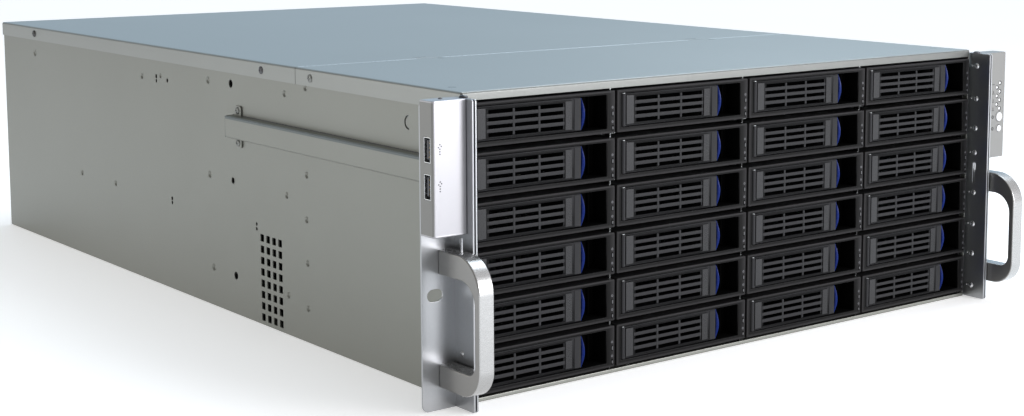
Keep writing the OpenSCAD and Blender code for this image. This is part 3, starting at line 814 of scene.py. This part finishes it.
def make_plates():
    plates = Piece("ducts_and_rear_plates")
    x0, x1 = SIDE_X + 0.1, SIDE_X + 6.6
    (y0, y1), (z0, z1), t = DUCT_Y, DUCT_Z, SHEET
    outer = [(x0, z0), *arc((x1 - 1.4, z0 + 1.4), 1.4, -90, 0, 4),
             *arc((x1 - 1.4, z1 - 1.4), 1.4, 0, 90, 4), (x0, z1)]
    inner = [(x0, z1 - t), *arc((x1 - 1.4, z1 - 1.4), 0.4, 90, 0, 2),
             *arc((x1 - 1.4, z0 + 1.4), 0.4, 0, -90, 2), (x0, z0 + t)]
    plates.add(slab("y", y0, y1 - y0, outer + inner, edge=0.08), STEEL, mirrored=True)
    cap = rectangle((x0, x1 - 0.9), (z0 + 0.9, z1 - 0.9))
    plates.add(slab("y", y1 - t - 0.3, t, cap, edge=0.1), STEEL, mirrored=True)
    for z, side in ((z0, -1), (z1, 1)):
        a, b = sorted((z - side * 0.3, z + side * 6.5))
        radii = (2, 2, 0, 0) if side < 0 else (0, 0, 2, 2)
        tab = rectangle(TAB_Y, (a, b), radii)
        plates.add(slab("x", x0, t, tab, edge=0.15), STEEL, mirrored=True)
    for z in TAB_SCREW_ZS:
        add_on_sides(plates, pan_head(2.4, 1.0), SCREW_DULL, x0 + t - 0.05, TAB_SCREW_Y, z)
    # painted shade: a darker strip along the duct's upper fold and down its end, and black lines where its
    # foot and top meet the wall
    plates.add(block((x1 - 1.2, y0, z1 - 2.3), (x1 + 0.05, y1 - 0.6, z1 - 0.5), 0.2, 1), STEEL_PAINTED_SHADE,
               mirrored=True)
    plates.add(block((x1 - 1.0, y1 - 0.5, z0 + 0.4), (x1 + 0.05, y1 + 0.05, z1 - 0.5), 0.2, 1), STEEL_PAINTED_SHADE,
               mirrored=True)
    # black lines where the duct meets the wall: painted shadow in the joins
    for z in (z0, z1):
        plates.add(block((x0 - 0.05, y0, z - 0.3), (x0 + 0.35, y1, z + 0.3), 0.1, 1), BLACK_SCREWS_AND_SHADE,
                   mirrored=True)

    inside = BODY_HI.y - SHEET - 0.1
    for x in SLOT_XS:
        holes = [slot_outline(x - SLOT_W / 2, z, 8, 2.2, 5) for z in range(22, 108, 6)]
        plates.add(slab("y", inside - 1, 1, rectangle((x - 15.8, x + 3), (12, 120), 1), holes, 0.12), CAGE)
    psu = (PSU_X[0] - 4, PSU_X[1] + 4), (PSU_Z[0] - 4, PSU_Z[1] + 4)
    vents = []
    for row in range(20):
        for column in range(9):
            vents.append(disc(PSU_X[0] + 10 + column * 8 + (row % 2) * 4 - 2, PSU_Z[0] + 9 + row * 6.8, 2.4,
                              6))
    plates.add(slab("y", inside - 1, 1, rectangle(*psu, 1), vents, 0.1), CAGE)
    place(plates, "body_steel", "cover_plates")


# ---------------------------------------------------------------- rack ears and handles

RIVET_ZS = [8.5, 31.4, 52.4, 74.8, 103, 120.2, 141, 163.8]
PLATE_IN, PLATE_OUT = (216.3, 217.4), (218.3, 219.4)
FLANGE_Y = (1.2, 2.4)
RACK_SLOT = (465.1 / 2, 64.6, 10.3, 7)      # its middle across and up, its length and height
CORNER_R, HANDLE_OPENING = (20, 16), (25.8, 76.1)


def make_ears():
    ears = Piece("rack_ears_sheet")
    front, back, top, out = EAR_LO.y, FLANGE_Y[1], EAR_HI.z, EAR_HI.x
    window = rectangle((-6.4, -4.0), (81, 96), 1.1)
    for a, b in (PLATE_IN, PLATE_OUT):
        side = rectangle((front, back), (0, top), (1.5, 0, 0, 1.5))
        ears.add(slab("x", a, b - a, side, [window], 0.3, 2), EAR, mirrored=True)
    ears.add(block((PLATE_IN[1] - 0.1, front + 3, 0.4), (PLATE_OUT[0] + 0.1, -6.6, top - 0.4), 0.1), EAR,
             mirrored=True)
    ears.add(block((PLATE_IN[1] - 0.1, -3.8, 0.4), (PLATE_OUT[0] + 0.1, back, top - 0.4), 0.1), EAR,
             mirrored=True)
    flange = rectangle((PLATE_OUT[0], out), (0, top), (0, 4, 4, 0), 6)
    hole = slot_outline(*RACK_SLOT)
    ears.add(slab("y", FLANGE_Y[0], FLANGE_Y[1] - FLANGE_Y[0], flange, [hole], 0.25), EAR, mirrored=True)
    ears.add(block((SIDE_X + 0.1, FLANGE_Y[1] - 0.1, 0.2), (PLATE_OUT[1], 13, COVER_LO.z - 1.5), 0.5), EAR,
             mirrored=True)
    for z in RIVET_ZS:
        ears.add(rivet(), SCREW, pointing("-x", (PLATE_IN[0], -5.2, z)), mirrored=True)
        ears.add(rivet(0.7, 0.3), SCREW, pointing("-x", (PLATE_IN[0], -1.2, z)), mirrored=True)
    for z in (31.4, 8.5):
        add_on_sides(ears, rivet(1.7, 0.5), SCREW, PLATE_OUT[1], -5.2, z)
    for x, z in ((226, 19.4), (226, 83.4)):
        ears.add(pan_head(3.4, 1.8), SCREW, pointing("+y", (x, FLANGE_Y[1] - 0.05, z)), mirrored=True)
    ears.add(rivet(2.6, 1.5), BLACK_SCREWS_AND_SHADE, Matrix.Translation((216.8, -4.5, top)), mirrored=True)
    place(ears, "ear_silver", "rack_ears")


def make_handles():
    handles = Piece("pull_handles_bars")
    back, reach = HANDLE_HI.y, HANDLE_LO.y
    z0, z1 = HANDLE_LO.z, HANDLE_HI.z
    bar = 4.2
    high_r, low_r = CORNER_R
    outline = [(back, z0), (back, z1), *arc((reach + high_r, z1 - high_r), high_r, 90, 180, 14),
               *arc((reach + low_r, z0 + low_r), low_r, 180, 270, 12)]
    inner = reach + bar
    low, high = HANDLE_OPENING
    opening = [(back, low), (back, high), *arc((inner + 13, high - 13), 13, 90, 180, 10),
               *arc((inner + 7, low + 7), 7, 180, 270, 8)]
    legs = outline[1:] + [outline[0]] + [opening[0]] + opening[:1:-1] + [opening[1]]
    x0, x1 = HANDLE_HI.x - 10.2, HANDLE_HI.x
    # the side faces take the darker copy: painted shade
    handles.add(slab("x", x0, x1 - x0, legs, edge=0.9, steps=3), HANDLE, mirrored=True,
                facing=lambda normal: HANDLE_SIDE_SHADED if abs(normal.x) > 0.8 else HANDLE)
    place(handles, "handle_silver", "pull_handles")


# ---------------------------------------------------------------- modules on the ears

def module_shell(lo, hi):
    """An upright channel, open at the back, with its outer front corner rounded; module_lids closes its
    ends.
    """
    wall, outside = 1.2, 1.6
    x0, x1, y0, y1 = lo.x, hi.x, lo.y, hi.y
    outer = [(x0, y1), *arc((x0 + 0.5, y0 + 0.5), 0.5, 180, 270, 3),
             *arc((x1 - outside, y0 + outside), outside, 270, 360, 6), (x1, y1)]
    inner = [(x1 - wall, y1), *arc((x1 - wall - 0.6, y0 + wall + 0.6), 0.6, 360, 270, 3),
             (x0 + wall, y0 + wall), (x0 + wall, y1)]
    return slab("z", lo.z + 0.9, hi.z - lo.z - 1.8, outer + inner, edge=0.1)


def module_lids(piece, lo, hi, material, turn=None):
    for z in (lo.z, hi.z - 1.2):
        outline = rectangle((lo.x, hi.x), (lo.y, hi.y), (0.8, 1.8, 0, 0), 5)
        piece.add(slab("z", z, 1.2, outline, edge=0.35, steps=2), material, turn)


def add_mark(piece, x, y, z, kind):
    """A small generic mark on a module's front, made of dots, with no meaning of its own."""
    dots = {
        "fork": [(0, -2.6), (0, -1.2), (0, 0.2), (-0.9, 1.1), (0.9, 1.6), (0, 2.6)],
        "tower": [(-0.7, -0.8), (0.7, -0.8), (0, 0.1), (0, 0.9)],
        "pair": [(-0.6, 0), (0.6, 0)],
        "ring": [(math.cos(a) * 0.9, math.sin(a) * 0.9) for a in [math.tau * i / 8 for i in range(8)]],
    }
    for u, v in dots[kind]:
        piece.add(lathe([(0, 0), (0.42, 0), (0.36, 0.08), (0, 0.08)], 10), INK_AND_SHADE,
                  pointing("-y", (x + u, y, z + v)))


SOCKET_Y, SOCKET_HALF, SOCKET_ZS = (-8.9, -2.3), 7.1, (126.2, 146.3)
USB_MARK_X, USB_MARK_ZS = -236.6, (146.8, 126.7)


def make_usb_module():
    """The left module, drawn on the right and mirrored, so that its sockets face outward."""
    usb = Piece("usb_module_housing")
    lo, hi = Vector((-USB_HI.x, USB_LO.y, USB_LO.z)), Vector((-USB_LO.x, USB_HI.y, USB_HI.z))
    (y0, y1), half = SOCKET_Y, SOCKET_HALF
    cutters = [block((hi.x - 3, y0, z - half), (hi.x + 2, y1, z + half), 0.3) for z in SOCKET_ZS]
    # faces turned to the left take the darker copy: painted shade on the module's side
    usb.add(pierced(module_shell(lo, hi), *cutters), MODULE, MIRROR_X,
            facing=lambda normal: MODULE_SIDE_SHADED if normal.x < -0.6 else MODULE)
    module_lids(usb, lo, hi, MODULE, MIRROR_X)
    for z in SOCKET_ZS:
        shell_hole = rectangle((y0 + 0.6, y1 - 0.6), (z - half + 0.6, z + half - 0.6), 0.3, 2)
        rim = rectangle((y0 + 0.1, y1 - 0.1), (z - half + 0.1, z + half - 0.1), 0.5, 2)
        usb.add(slab("x", hi.x - 11, 10.98, rim, [shell_hole], 0.12), SCREW, MIRROR_X)
        # a black block at the back of each socket: painted shade inside it
        usb.add(block((hi.x - 10.9, y0 + 0.5, z - half + 0.5), (hi.x - 9.6, y1 - 0.5, z + half - 0.5),
                      0.1), PAINTED_SHADE_BLACK, MIRROR_X)
        usb.add(block((hi.x - 10.0, y0 + 0.7, z - half + 0.7), (hi.x - 0.9, y0 + 0.9, z + half - 0.7), 0.05,
                      1), CONNECTOR, MIRROR_X)
        usb.add(block((hi.x - 10.0, y1 - 3.4, z - 5.2), (hi.x - 1.0, y1 - 1.7, z + 5.2), 0.2), CONNECTOR,
                MIRROR_X)
        for k in range(4):
            contact = z - 3.9 + k * 2.6
            usb.add(block((hi.x - 8, y1 - 3.5, contact - 0.5), (hi.x - 1.3, y1 - 3.3, contact + 0.5),
                          0.05, 1), GOLD, MIRROR_X)
    for z in USB_MARK_ZS:
        add_mark(usb, USB_MARK_X, lo.y, z, "fork")
    usb.add(rivet(1.3, 0.7), BLACK_SCREWS_AND_SHADE, Matrix.Translation((-230.5, -2.5, hi.z)))
    place(usb, "module_silver", "usb_module")


BUTTON_X = (POWER_LO.x + POWER_HI.x) / 2
POWER_Z = (POWER_LO.z + POWER_HI.z) / 2
RESET_Z = (RESET_LO.z + RESET_HI.z) / 2
POWER_R, RESET_R, BUTTON_FIT = 3.2, 2.3, 0.3
PANEL_MARK_X = 228.0
PANEL_MARKS = [("pair", 150.5), ("tower", 144.6), ("tower", 138.8), ("tower", 133.0),
               ("ring", POWER_Z), ("ring", RESET_Z)]
LIGHTS = [(235.1 - (i % 2) * 3.1, 151.2 - i * 3) for i in range(7)]


def make_control_module():
    panel = Piece("control_module_housing")
    lo, hi = PANEL_LO, PANEL_HI
    bores = [(BUTTON_X, POWER_Z, POWER_R + BUTTON_FIT), (BUTTON_X, RESET_Z, RESET_R + BUTTON_FIT)]
    bores += [(x, z, 1.6) for x, z in LIGHTS]
    cutters = []
    for x, z, r in bores:
        cutter = lathe([(0, -2), (r, -2), (r, 4), (0, 4)], 24)
        cutter.transform(pointing("+y", (x, lo.y, z)))
        cutters.append(cutter)
    panel.add(pierced(module_shell(lo, hi), *cutters), MODULE_GREY)
    module_lids(panel, lo, hi, MODULE_GREY)
    for x, z in LIGHTS:
        pipe = lathe([(0, 0.12), (0.8, 0.2), (1.05, 0.5), (1.05, 5), (0, 5)], 14)
        panel.add(pipe, SIGNAL, pointing("+y", (x, lo.y, z)))
        # a dark ring in the bore round each light: painted shade in the gap
        panel.add(lathe([(1.08, 0.02), (1.6, 0.02), (1.6, 0.3), (1.08, 0.3)], 18, True), INK_AND_SHADE,
                  pointing("+y", (x, lo.y, z)))
    # and round each button: painted shade in the gap
    for x, z, r in bores[:2]:
        panel.add(lathe([(r - 0.1, 0.02), (r + 0.45, 0.02), (r + 0.45, 0.3), (r - 0.1, 0.3)], 28, True),
                  INK_AND_SHADE, pointing("+y", (x, lo.y, z)))
    for kind, z in PANEL_MARKS:
        add_mark(panel, PANEL_MARK_X, lo.y, z, kind)
    place(panel, "module_silver", "control_module")


def make_button(node, radius, z):
    lo, hi = span_of(node)
    cap = Piece(node + "_cap")
    front, depth = lo.y, hi.y - lo.y
    shape = [(0, 0.22), (radius * 0.55, 0.16), (radius * 0.8, 0.02), (radius - 0.25, 0.06), (radius, 0.4),
             (radius, depth - 1.6), (radius + 0.9, depth - 1.6), (radius + 0.9, depth - 0.2),
             (radius, depth), (0, depth)]
    cap.add(lathe(shape, 32), BUTTON, pointing("+y", (BUTTON_X, front, z)))
    place(cap, "button_white", node, node)


# ---------------------------------------------------------------- trays and levers

POCKET_X, POCKET_Z, POCKET_Y = (-49.2, 46.5), (4.3, 24.3), 13.5
GRILLE_X = (-38.2, 15.4)
GRILLE_THIRD = (GRILLE_X[1] - GRILLE_X[0]) / 3
FINGER_X = 31.2                     # where the open recess right of the latch begins
WINDOW_X = 50.8
WINDOWS = ((13.0, 1.15), (4.6, 0.9))        # each window's height up the bezel and its half length
SLOT_ZS, SLOT_H = (7.8, 12.1, 16.3, 20.5), 2.1
BEZEL_X, BEZEL_Z, BEZEL_BACK = 52.6, (1.5, 26.4), 16.0
CARRIER_X, CARRIER_TOP = 51.8, 15.0
LEVER_X, LEVER_Z = (-48.3, 27.6), (4.6, 24.0)
PIN_X = -46.9
LATCH_X, LATCH_Z = (27.8, 30.5), (5.0, 23.6)
CARRIER_END = span_of("drive_tray_r1c1")[1].y


def bay_origin(r, c):
    """The middle of a bay across, the front of the covers and the foot of the bay, in metres."""
    lo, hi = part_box(f"drive_tray_r{r}c{c}")
    return Vector(((lo.x + hi.x) / 2, FRONT_Y, lo.z - CARRIER_FOOT * MM))


def air_slots(rib):
    """Outlines of the three columns of air slots, with ribs of this width between the columns."""
    slots = []
    for i in range(3):
        span = (GRILLE_X[0] + i * GRILLE_THIRD + rib / 2, GRILLE_X[0] + (i + 1) * GRILLE_THIRD - rib / 2)
        slots += [rectangle(span, (z - SLOT_H / 2, z + SLOT_H / 2), 0.35, 2) for z in SLOT_ZS]
    return slots


def tray_mesh():
    tray = Piece("tray_moulding")
    rim = rectangle((-BEZEL_X, BEZEL_X), BEZEL_Z, 0.7, 3)
    pocket = rectangle(POCKET_X, POCKET_Z, 0.6, 3)
    tray.add(slab("y", BEZEL_FRONT, POCKET_Y - BEZEL_FRONT + 0.1, rim, [pocket], 0.45, 2), BEZEL)
    # behind the grille a back wall of deeper black: painted shade
    tray.add(slab("y", POCKET_Y, BEZEL_BACK - POCKET_Y, rim, air_slots(1.4), 0.3), PAINTED_SHADE_BLACK)
    # the pocket where a finger reaches in behind the latch is lined with a deeper black: painted shade
    right, low, high = POCKET_X[1], POCKET_Z[0], POCKET_Z[1]
    tray.add(block((right - 0.3, BEZEL_FRONT + 0.7, low), (right + 0.1, POCKET_Y, high), 0.1, 1), PAINTED_SHADE_BLACK)
    for a, b in ((low - 0.1, low + 0.2), (high - 0.2, high + 0.1)):
        tray.add(block((FINGER_X, BEZEL_FRONT + 0.7, a), (right, POCKET_Y, b), 0.1, 1), PAINTED_SHADE_BLACK)
    tray.add(block((FINGER_X + 0.2, POCKET_Y - 2.2, low + 0.2), (right - 0.1, POCKET_Y + 0.1, high - 0.2),
                   0.3), PAINTED_SHADE_BLACK)
    for x in (36, 41):
        tray.add(block((x, POCKET_Y - 4, low + 0.1), (x + 1, POCKET_Y, high - 0.1), 0.2), PAINTED_SHADE_BLACK)
    # two light windows in the right-hand column, each in a dark surround painted as the shadow round its
    # lens, with a plain mark over each
    x = WINDOW_X
    for z, lit in WINDOWS:
        tray.add(slab("y", BEZEL_FRONT - 0.12, 0.5, rectangle((x - 0.85, x + 0.85), (z - 1.7, z + 1.7),
                                                              0.8), edge=0.1), PAINTED_SHADE_BLACK)
        tray.add(slab("y", BEZEL_FRONT - 0.28, 0.5, rectangle((x - 0.45, x + 0.45), (z - lit, z + lit),
                                                              0.4), edge=0.12), LAMP)
        tray.add(lathe([(0.35, 0), (0.75, 0), (0.75, 0.12), (0.35, 0.12)], 12, True), INK_LIGHT,
                 pointing("-y", (x - 0.2, BEZEL_FRONT + 0.02, z + 3.7)))
    add_carrier(tray)
    return tray.mesh(Matrix.Scale(MM, 4))


def add_carrier(tray):
    """The folded sheet carrier behind the bezel: a floor with cut-outs and two drilled sides."""
    wall, floor = 0.9, 0.6
    y0, y1 = BEZEL_BACK - 0.3, CARRIER_END
    cut = rectangle((-43.8, 43.8), (30, 140), 4)
    screws = [disc(x, y, 1.9, 14) for x in (-47.6, 47.6) for y in (42, 86, 128)]
    tray.add(slab("z", CARRIER_FOOT, floor, rectangle((-CARRIER_X + 0.1, CARRIER_X - 0.1), (y0, y1),
                                                      (0, 0, 2, 2)), [cut, *screws], 0.1), CAGE)
    holes = [disc(y, 7.2, 1.8, 14) for y in (44, 86, 145)] + [slot_outline(y, 11.2, 14, 2, 4)
                                                              for y in (65, 115)]
    side = rectangle((y0, y1), (CARRIER_FOOT, CARRIER_TOP), (0, 0, 5, 0))
    tray.add(slab("x", CARRIER_X - wall, wall, side, holes, 0.12), CAGE, mirrored=True)
    for y in (30, 158):
        add_on_sides(tray, lathe([(0, 0), (2.4, 0), (1.8, 0.35), (0, 0.35)], 16), CAGE, CARRIER_X - 0.36, y,
                     7.2)
    pipe = block((CARRIER_X - 2.6, BEZEL_BACK - 0.5, 11.6), (CARRIER_X - 1.2, y1 - 12, 13.0), 0.3)
    tray.add(pipe, LIGHT_PIPE)


def lever_mesh():
    lever = Piece("lever_moulding")
    rib = 1.6
    outline = rectangle(LEVER_X, LEVER_Z, (0.8, 0.3, 0.3, 0.8))
    lever.add(slab("y", -0.9, 2.4, outline, air_slots(rib), 0.4, 2), LEVER)
    # the raised frame round the grille, from its left ridge to the ridged strip
    frame_outer = rectangle((-42.2, 20.8), (LEVER_Z[0] + 0.9, LEVER_Z[1] - 0.9), 0.5)
    frame_inner = rectangle((-38.9, 15.6), (SLOT_ZS[0] - SLOT_H / 2 - 0.1, SLOT_ZS[3] + SLOT_H / 2 + 0.1),
                            0.4)
    lever.add(slab("y", -1.4, 1.0, frame_outer, [frame_inner], 0.35, 2), LEVER)
    for i in range(3):
        z = (SLOT_ZS[i] + SLOT_ZS[i + 1]) / 2
        half = (SLOT_ZS[i + 1] - SLOT_ZS[i] - SLOT_H) / 2
        lever.add(block((GRILLE_X[0] - 0.8, -1.15, z - half + 0.02),
                        (GRILLE_X[1] + 0.3, -0.5, z + half - 0.02), 0.35), LEVER)
    for i in (1, 2):
        x = GRILLE_X[0] + i * GRILLE_THIRD
        lever.add(block((x - rib / 2 + 0.05, -1.3, SLOT_ZS[0] - SLOT_H / 2), (x + rib / 2 - 0.05, -0.4,
                        SLOT_ZS[3] + SLOT_H / 2), 0.35), LEVER)
    # the ridged strip and the left ridge: glossier, and lighter for a painted sheen
    for i in range(7):
        x = 16.1 + i * 0.68
        lever.add(block((x, -1.5, LEVER_Z[0] + 1.6), (x + 0.34, -1.1, LEVER_Z[1] - 1.6), 0.1, 1),
                  LEVER_SATIN_AND_SHEEN)
    lever.add(block((15.9, -1.43, LEVER_Z[0] + 1.4), (20.7, -1.0, LEVER_Z[1] - 1.4), 0.12, 1), LEVER_SATIN_AND_SHEEN)
    lever.add(block((-45.4, -1.45, LEVER_Z[0] + 1.2), (-39.6, -0.8, LEVER_Z[1] - 1.2), 0.3), LEVER_SATIN_AND_SHEEN)
    lever.add(block((22.6, -1.25, LEVER_Z[0] + 0.6), (27.4, -0.6, LEVER_Z[1] - 0.6), 0.4), LEVER)
    # the knuckle round the pin, and the pin's ends above and below it
    knuckle = [(0, LEVER_Z[0]), (1.25, LEVER_Z[0]), (1.45, LEVER_Z[0] + 0.3), (1.45, LEVER_Z[1] - 0.3),
               (1.25, LEVER_Z[1]), (0, LEVER_Z[1])]
    lever.add(lathe(knuckle, 24), LEVER, Matrix.Translation((PIN_X, 0, 0)))
    for z in (3.0, 23.9):
        lever.add(lathe([(0, z), (1.0, z), (1.2, z + 0.2), (1.2, z + 0.8), (1.0, z + 1.0), (0, z + 1.0)],
                        16), SCREW, Matrix.Translation((PIN_X, 0, 0)))
    lever.add(latch(), BLUE)
    return lever.mesh(Matrix.Scale(MM, 4))


def latch():
    """The release latch: a curved blue blade whose free edge bows out at mid-height."""
    made = bmesh.new()
    rows, around = 14, 10
    rings = []
    for i in range(rows + 1):
        t = i / rows
        z = LATCH_Z[0] + (LATCH_Z[1] - LATCH_Z[0]) * t
        bow = math.sin(math.pi * t)
        width = 0.5 + 1.5 * bow
        front = -0.2 - 1.6 * bow
        points = [(LATCH_X[0], 4.8), (LATCH_X[0], front + 0.5)]
        for k in range(around + 1):
            a = math.pi + (math.pi / 2) * k / around
            points.append((LATCH_X[0] + width * (1 + math.cos(a)), front + 1.4 + 1.4 * math.sin(a)))
        points += [(LATCH_X[0] + width, front + 1.4), (LATCH_X[0] + width, 4.8)]
        rings.append([made.verts.new((u, v, z)) for u, v in points])
    for low, high in zip(rings, rings[1:]):
        for k in range(len(low)):
            j = (k + 1) % len(low)
            made.faces.new((low[k], low[j], high[j], high[k]))
    made.faces.new(rings[0])
    made.faces.new(rings[-1])
    bmesh.ops.remove_doubles(made, verts=made.verts[:], dist=1e-4)
    bmesh.ops.recalc_face_normals(made, faces=made.faces[:])
    return made


def make_bays():
    tray, lever = tray_mesh(), lever_mesh()
    for r, c in BAYS:
        where = bay_origin(r, c)
        drive_tray, tray_lever = f"drive_tray_r{r}c{c}", f"tray_lever_r{r}c{c}"
        put(tray, f"tray_moulding_r{r}c{c}", drive_tray, [drive_tray], where)
        put(lever, f"lever_moulding_r{r}c{c}", tray_lever, [tray_lever], where)


# ---------------------------------------------------------------- camera, floor and light

EYE = (-0.744155, FRONT_Y - 0.767898, 0.279337)     # metres, in the row's frame
YAW, PITCH = 0.67138, -0.12078                      # radians
SENSOR, LENS = 36, 60.62203125                      # millimetres
LENS_SHIFT = (-0.064453125, -0.09765625)            # shares of the picture's width
FLOOR_GLOW = 0.42
# name, place, aim, size, watts, colour
LIGHTS_IN_STUDIO = [
    ("overhead", (0.65, -0.05, 1.1), (0.1, -0.25, 0.17), (1.0, 0.8), 11, (0.82, 0.92, 1.0)),
    ("left_back", (-2.0, 1.5, 0.35), (-0.21, -0.3, 0.09), (0.8, 0.6), 4.0, (1.0, 0.98, 0.93)),
    ("front_key", (0.85, -2.0, 0.55), (-0.1, -0.3, 0.09), (1.1, 0.9), 30, (0.97, 0.97, 1.0)),
]
SKY_FRONT, SKY_LEFT = (0.95, 0.95, 0.97), (0.41, 0.405, 0.385)
SKY_LOW, SKY_HIGH = (0.46, 0.62, 0.76), (0.66, 0.84, 1.0)       # behind the enclosure
SKY_STRENGTH = 0.95


def make_camera():
    """In front, to the left and a little above, through a long lens."""
    level = math.cos(PITCH)
    forward = Vector((math.sin(YAW) * level, math.cos(YAW) * level, math.sin(PITCH)))
    data = bpy.data.cameras.new("camera")
    data.sensor_width, data.lens = SENSOR, LENS
    data.shift_x, data.shift_y = LENS_SHIFT
    data.clip_start, data.clip_end = 0.05, 50
    camera = bpy.data.objects.new("camera", data)
    bpy.context.scene.collection.objects.link(camera)
    camera.rotation_mode = "QUATERNION"
    camera.rotation_quaternion = forward.to_track_quat("-Z", "Y")
    camera.location = EYE
    bpy.context.scene.camera = camera


def area_light(name, where, aim, size, power, colour):
    data = bpy.data.lights.new(name, "AREA")
    data.shape, data.size, data.size_y = "RECTANGLE", size[0], size[1]
    data.energy, data.color = power, colour
    lamp = bpy.data.objects.new(name, data)
    lamp.location = where
    lamp.rotation_mode = "QUATERNION"
    lamp.rotation_quaternion = (Vector(aim) - Vector(where)).to_track_quat("-Z", "Y")
    bpy.context.scene.collection.objects.link(lamp)


def make_stage():
    floor = Piece("studio_floor")
    floor.add(block((-7000, -7000, -40.2), (7000, 7000, -0.2), 5), FLOOR)
    shader = FLOOR.node_tree.nodes["Principled BSDF"]
    shader.inputs["Emission Color"].default_value = (1, 1, 1, 1)
    shader.inputs["Emission Strength"].default_value = FLOOR_GLOW
    data = floor.mesh(Matrix.Scale(MM, 4))
    placed = bpy.data.objects.new("studio_floor", data)
    bpy.context.scene.collection.objects.link(placed)
    make_world()
    for light in LIGHTS_IN_STUDIO:
        area_light(*light)


def make_world():
    """Pale all round. The left is dimmer and warmer, as the enclosure's side stands in soft shade there, and
    behind is bluer, which is what the top mirrors."""
    world = bpy.data.worlds.new("studio")
    world.use_nodes = True
    tree = world.node_tree
    where = add_node(tree, "ShaderNodeTexCoord").outputs["Generated"]
    way = add_node(tree, "ShaderNodeSeparateXYZ", {"Vector": where}).outputs
    from_left = spread(tree, way["X"], 0.0, 1.0, -0.42, 0.15)
    behind = spread(tree, way["Y"], 0.0, 1.0, 0.0, 0.45)
    rise = spread(tree, way["Z"], 0.0, 1.0, 0.08, 0.32)
    sky = mix(tree, behind, SKY_FRONT, mix(tree, rise, SKY_LOW, SKY_HIGH))
    background = tree.nodes["Background"]
    tree.links.new(mix(tree, from_left, SKY_LEFT, sky), background.inputs["Color"])
    background.inputs["Strength"].default_value = SKY_STRENGTH
    bpy.context.scene.world = world


bpy.context.scene.view_settings.view_transform = "Standard"
make_camera()
make_stage()
make_tub()
make_covers()
make_cage()
make_fans()
make_plates()
make_ears()
make_handles()
make_usb_module()
make_control_module()
make_button("power_button", POWER_R, POWER_Z)
make_button("reset_button", RESET_R, RESET_Z)
make_bays()
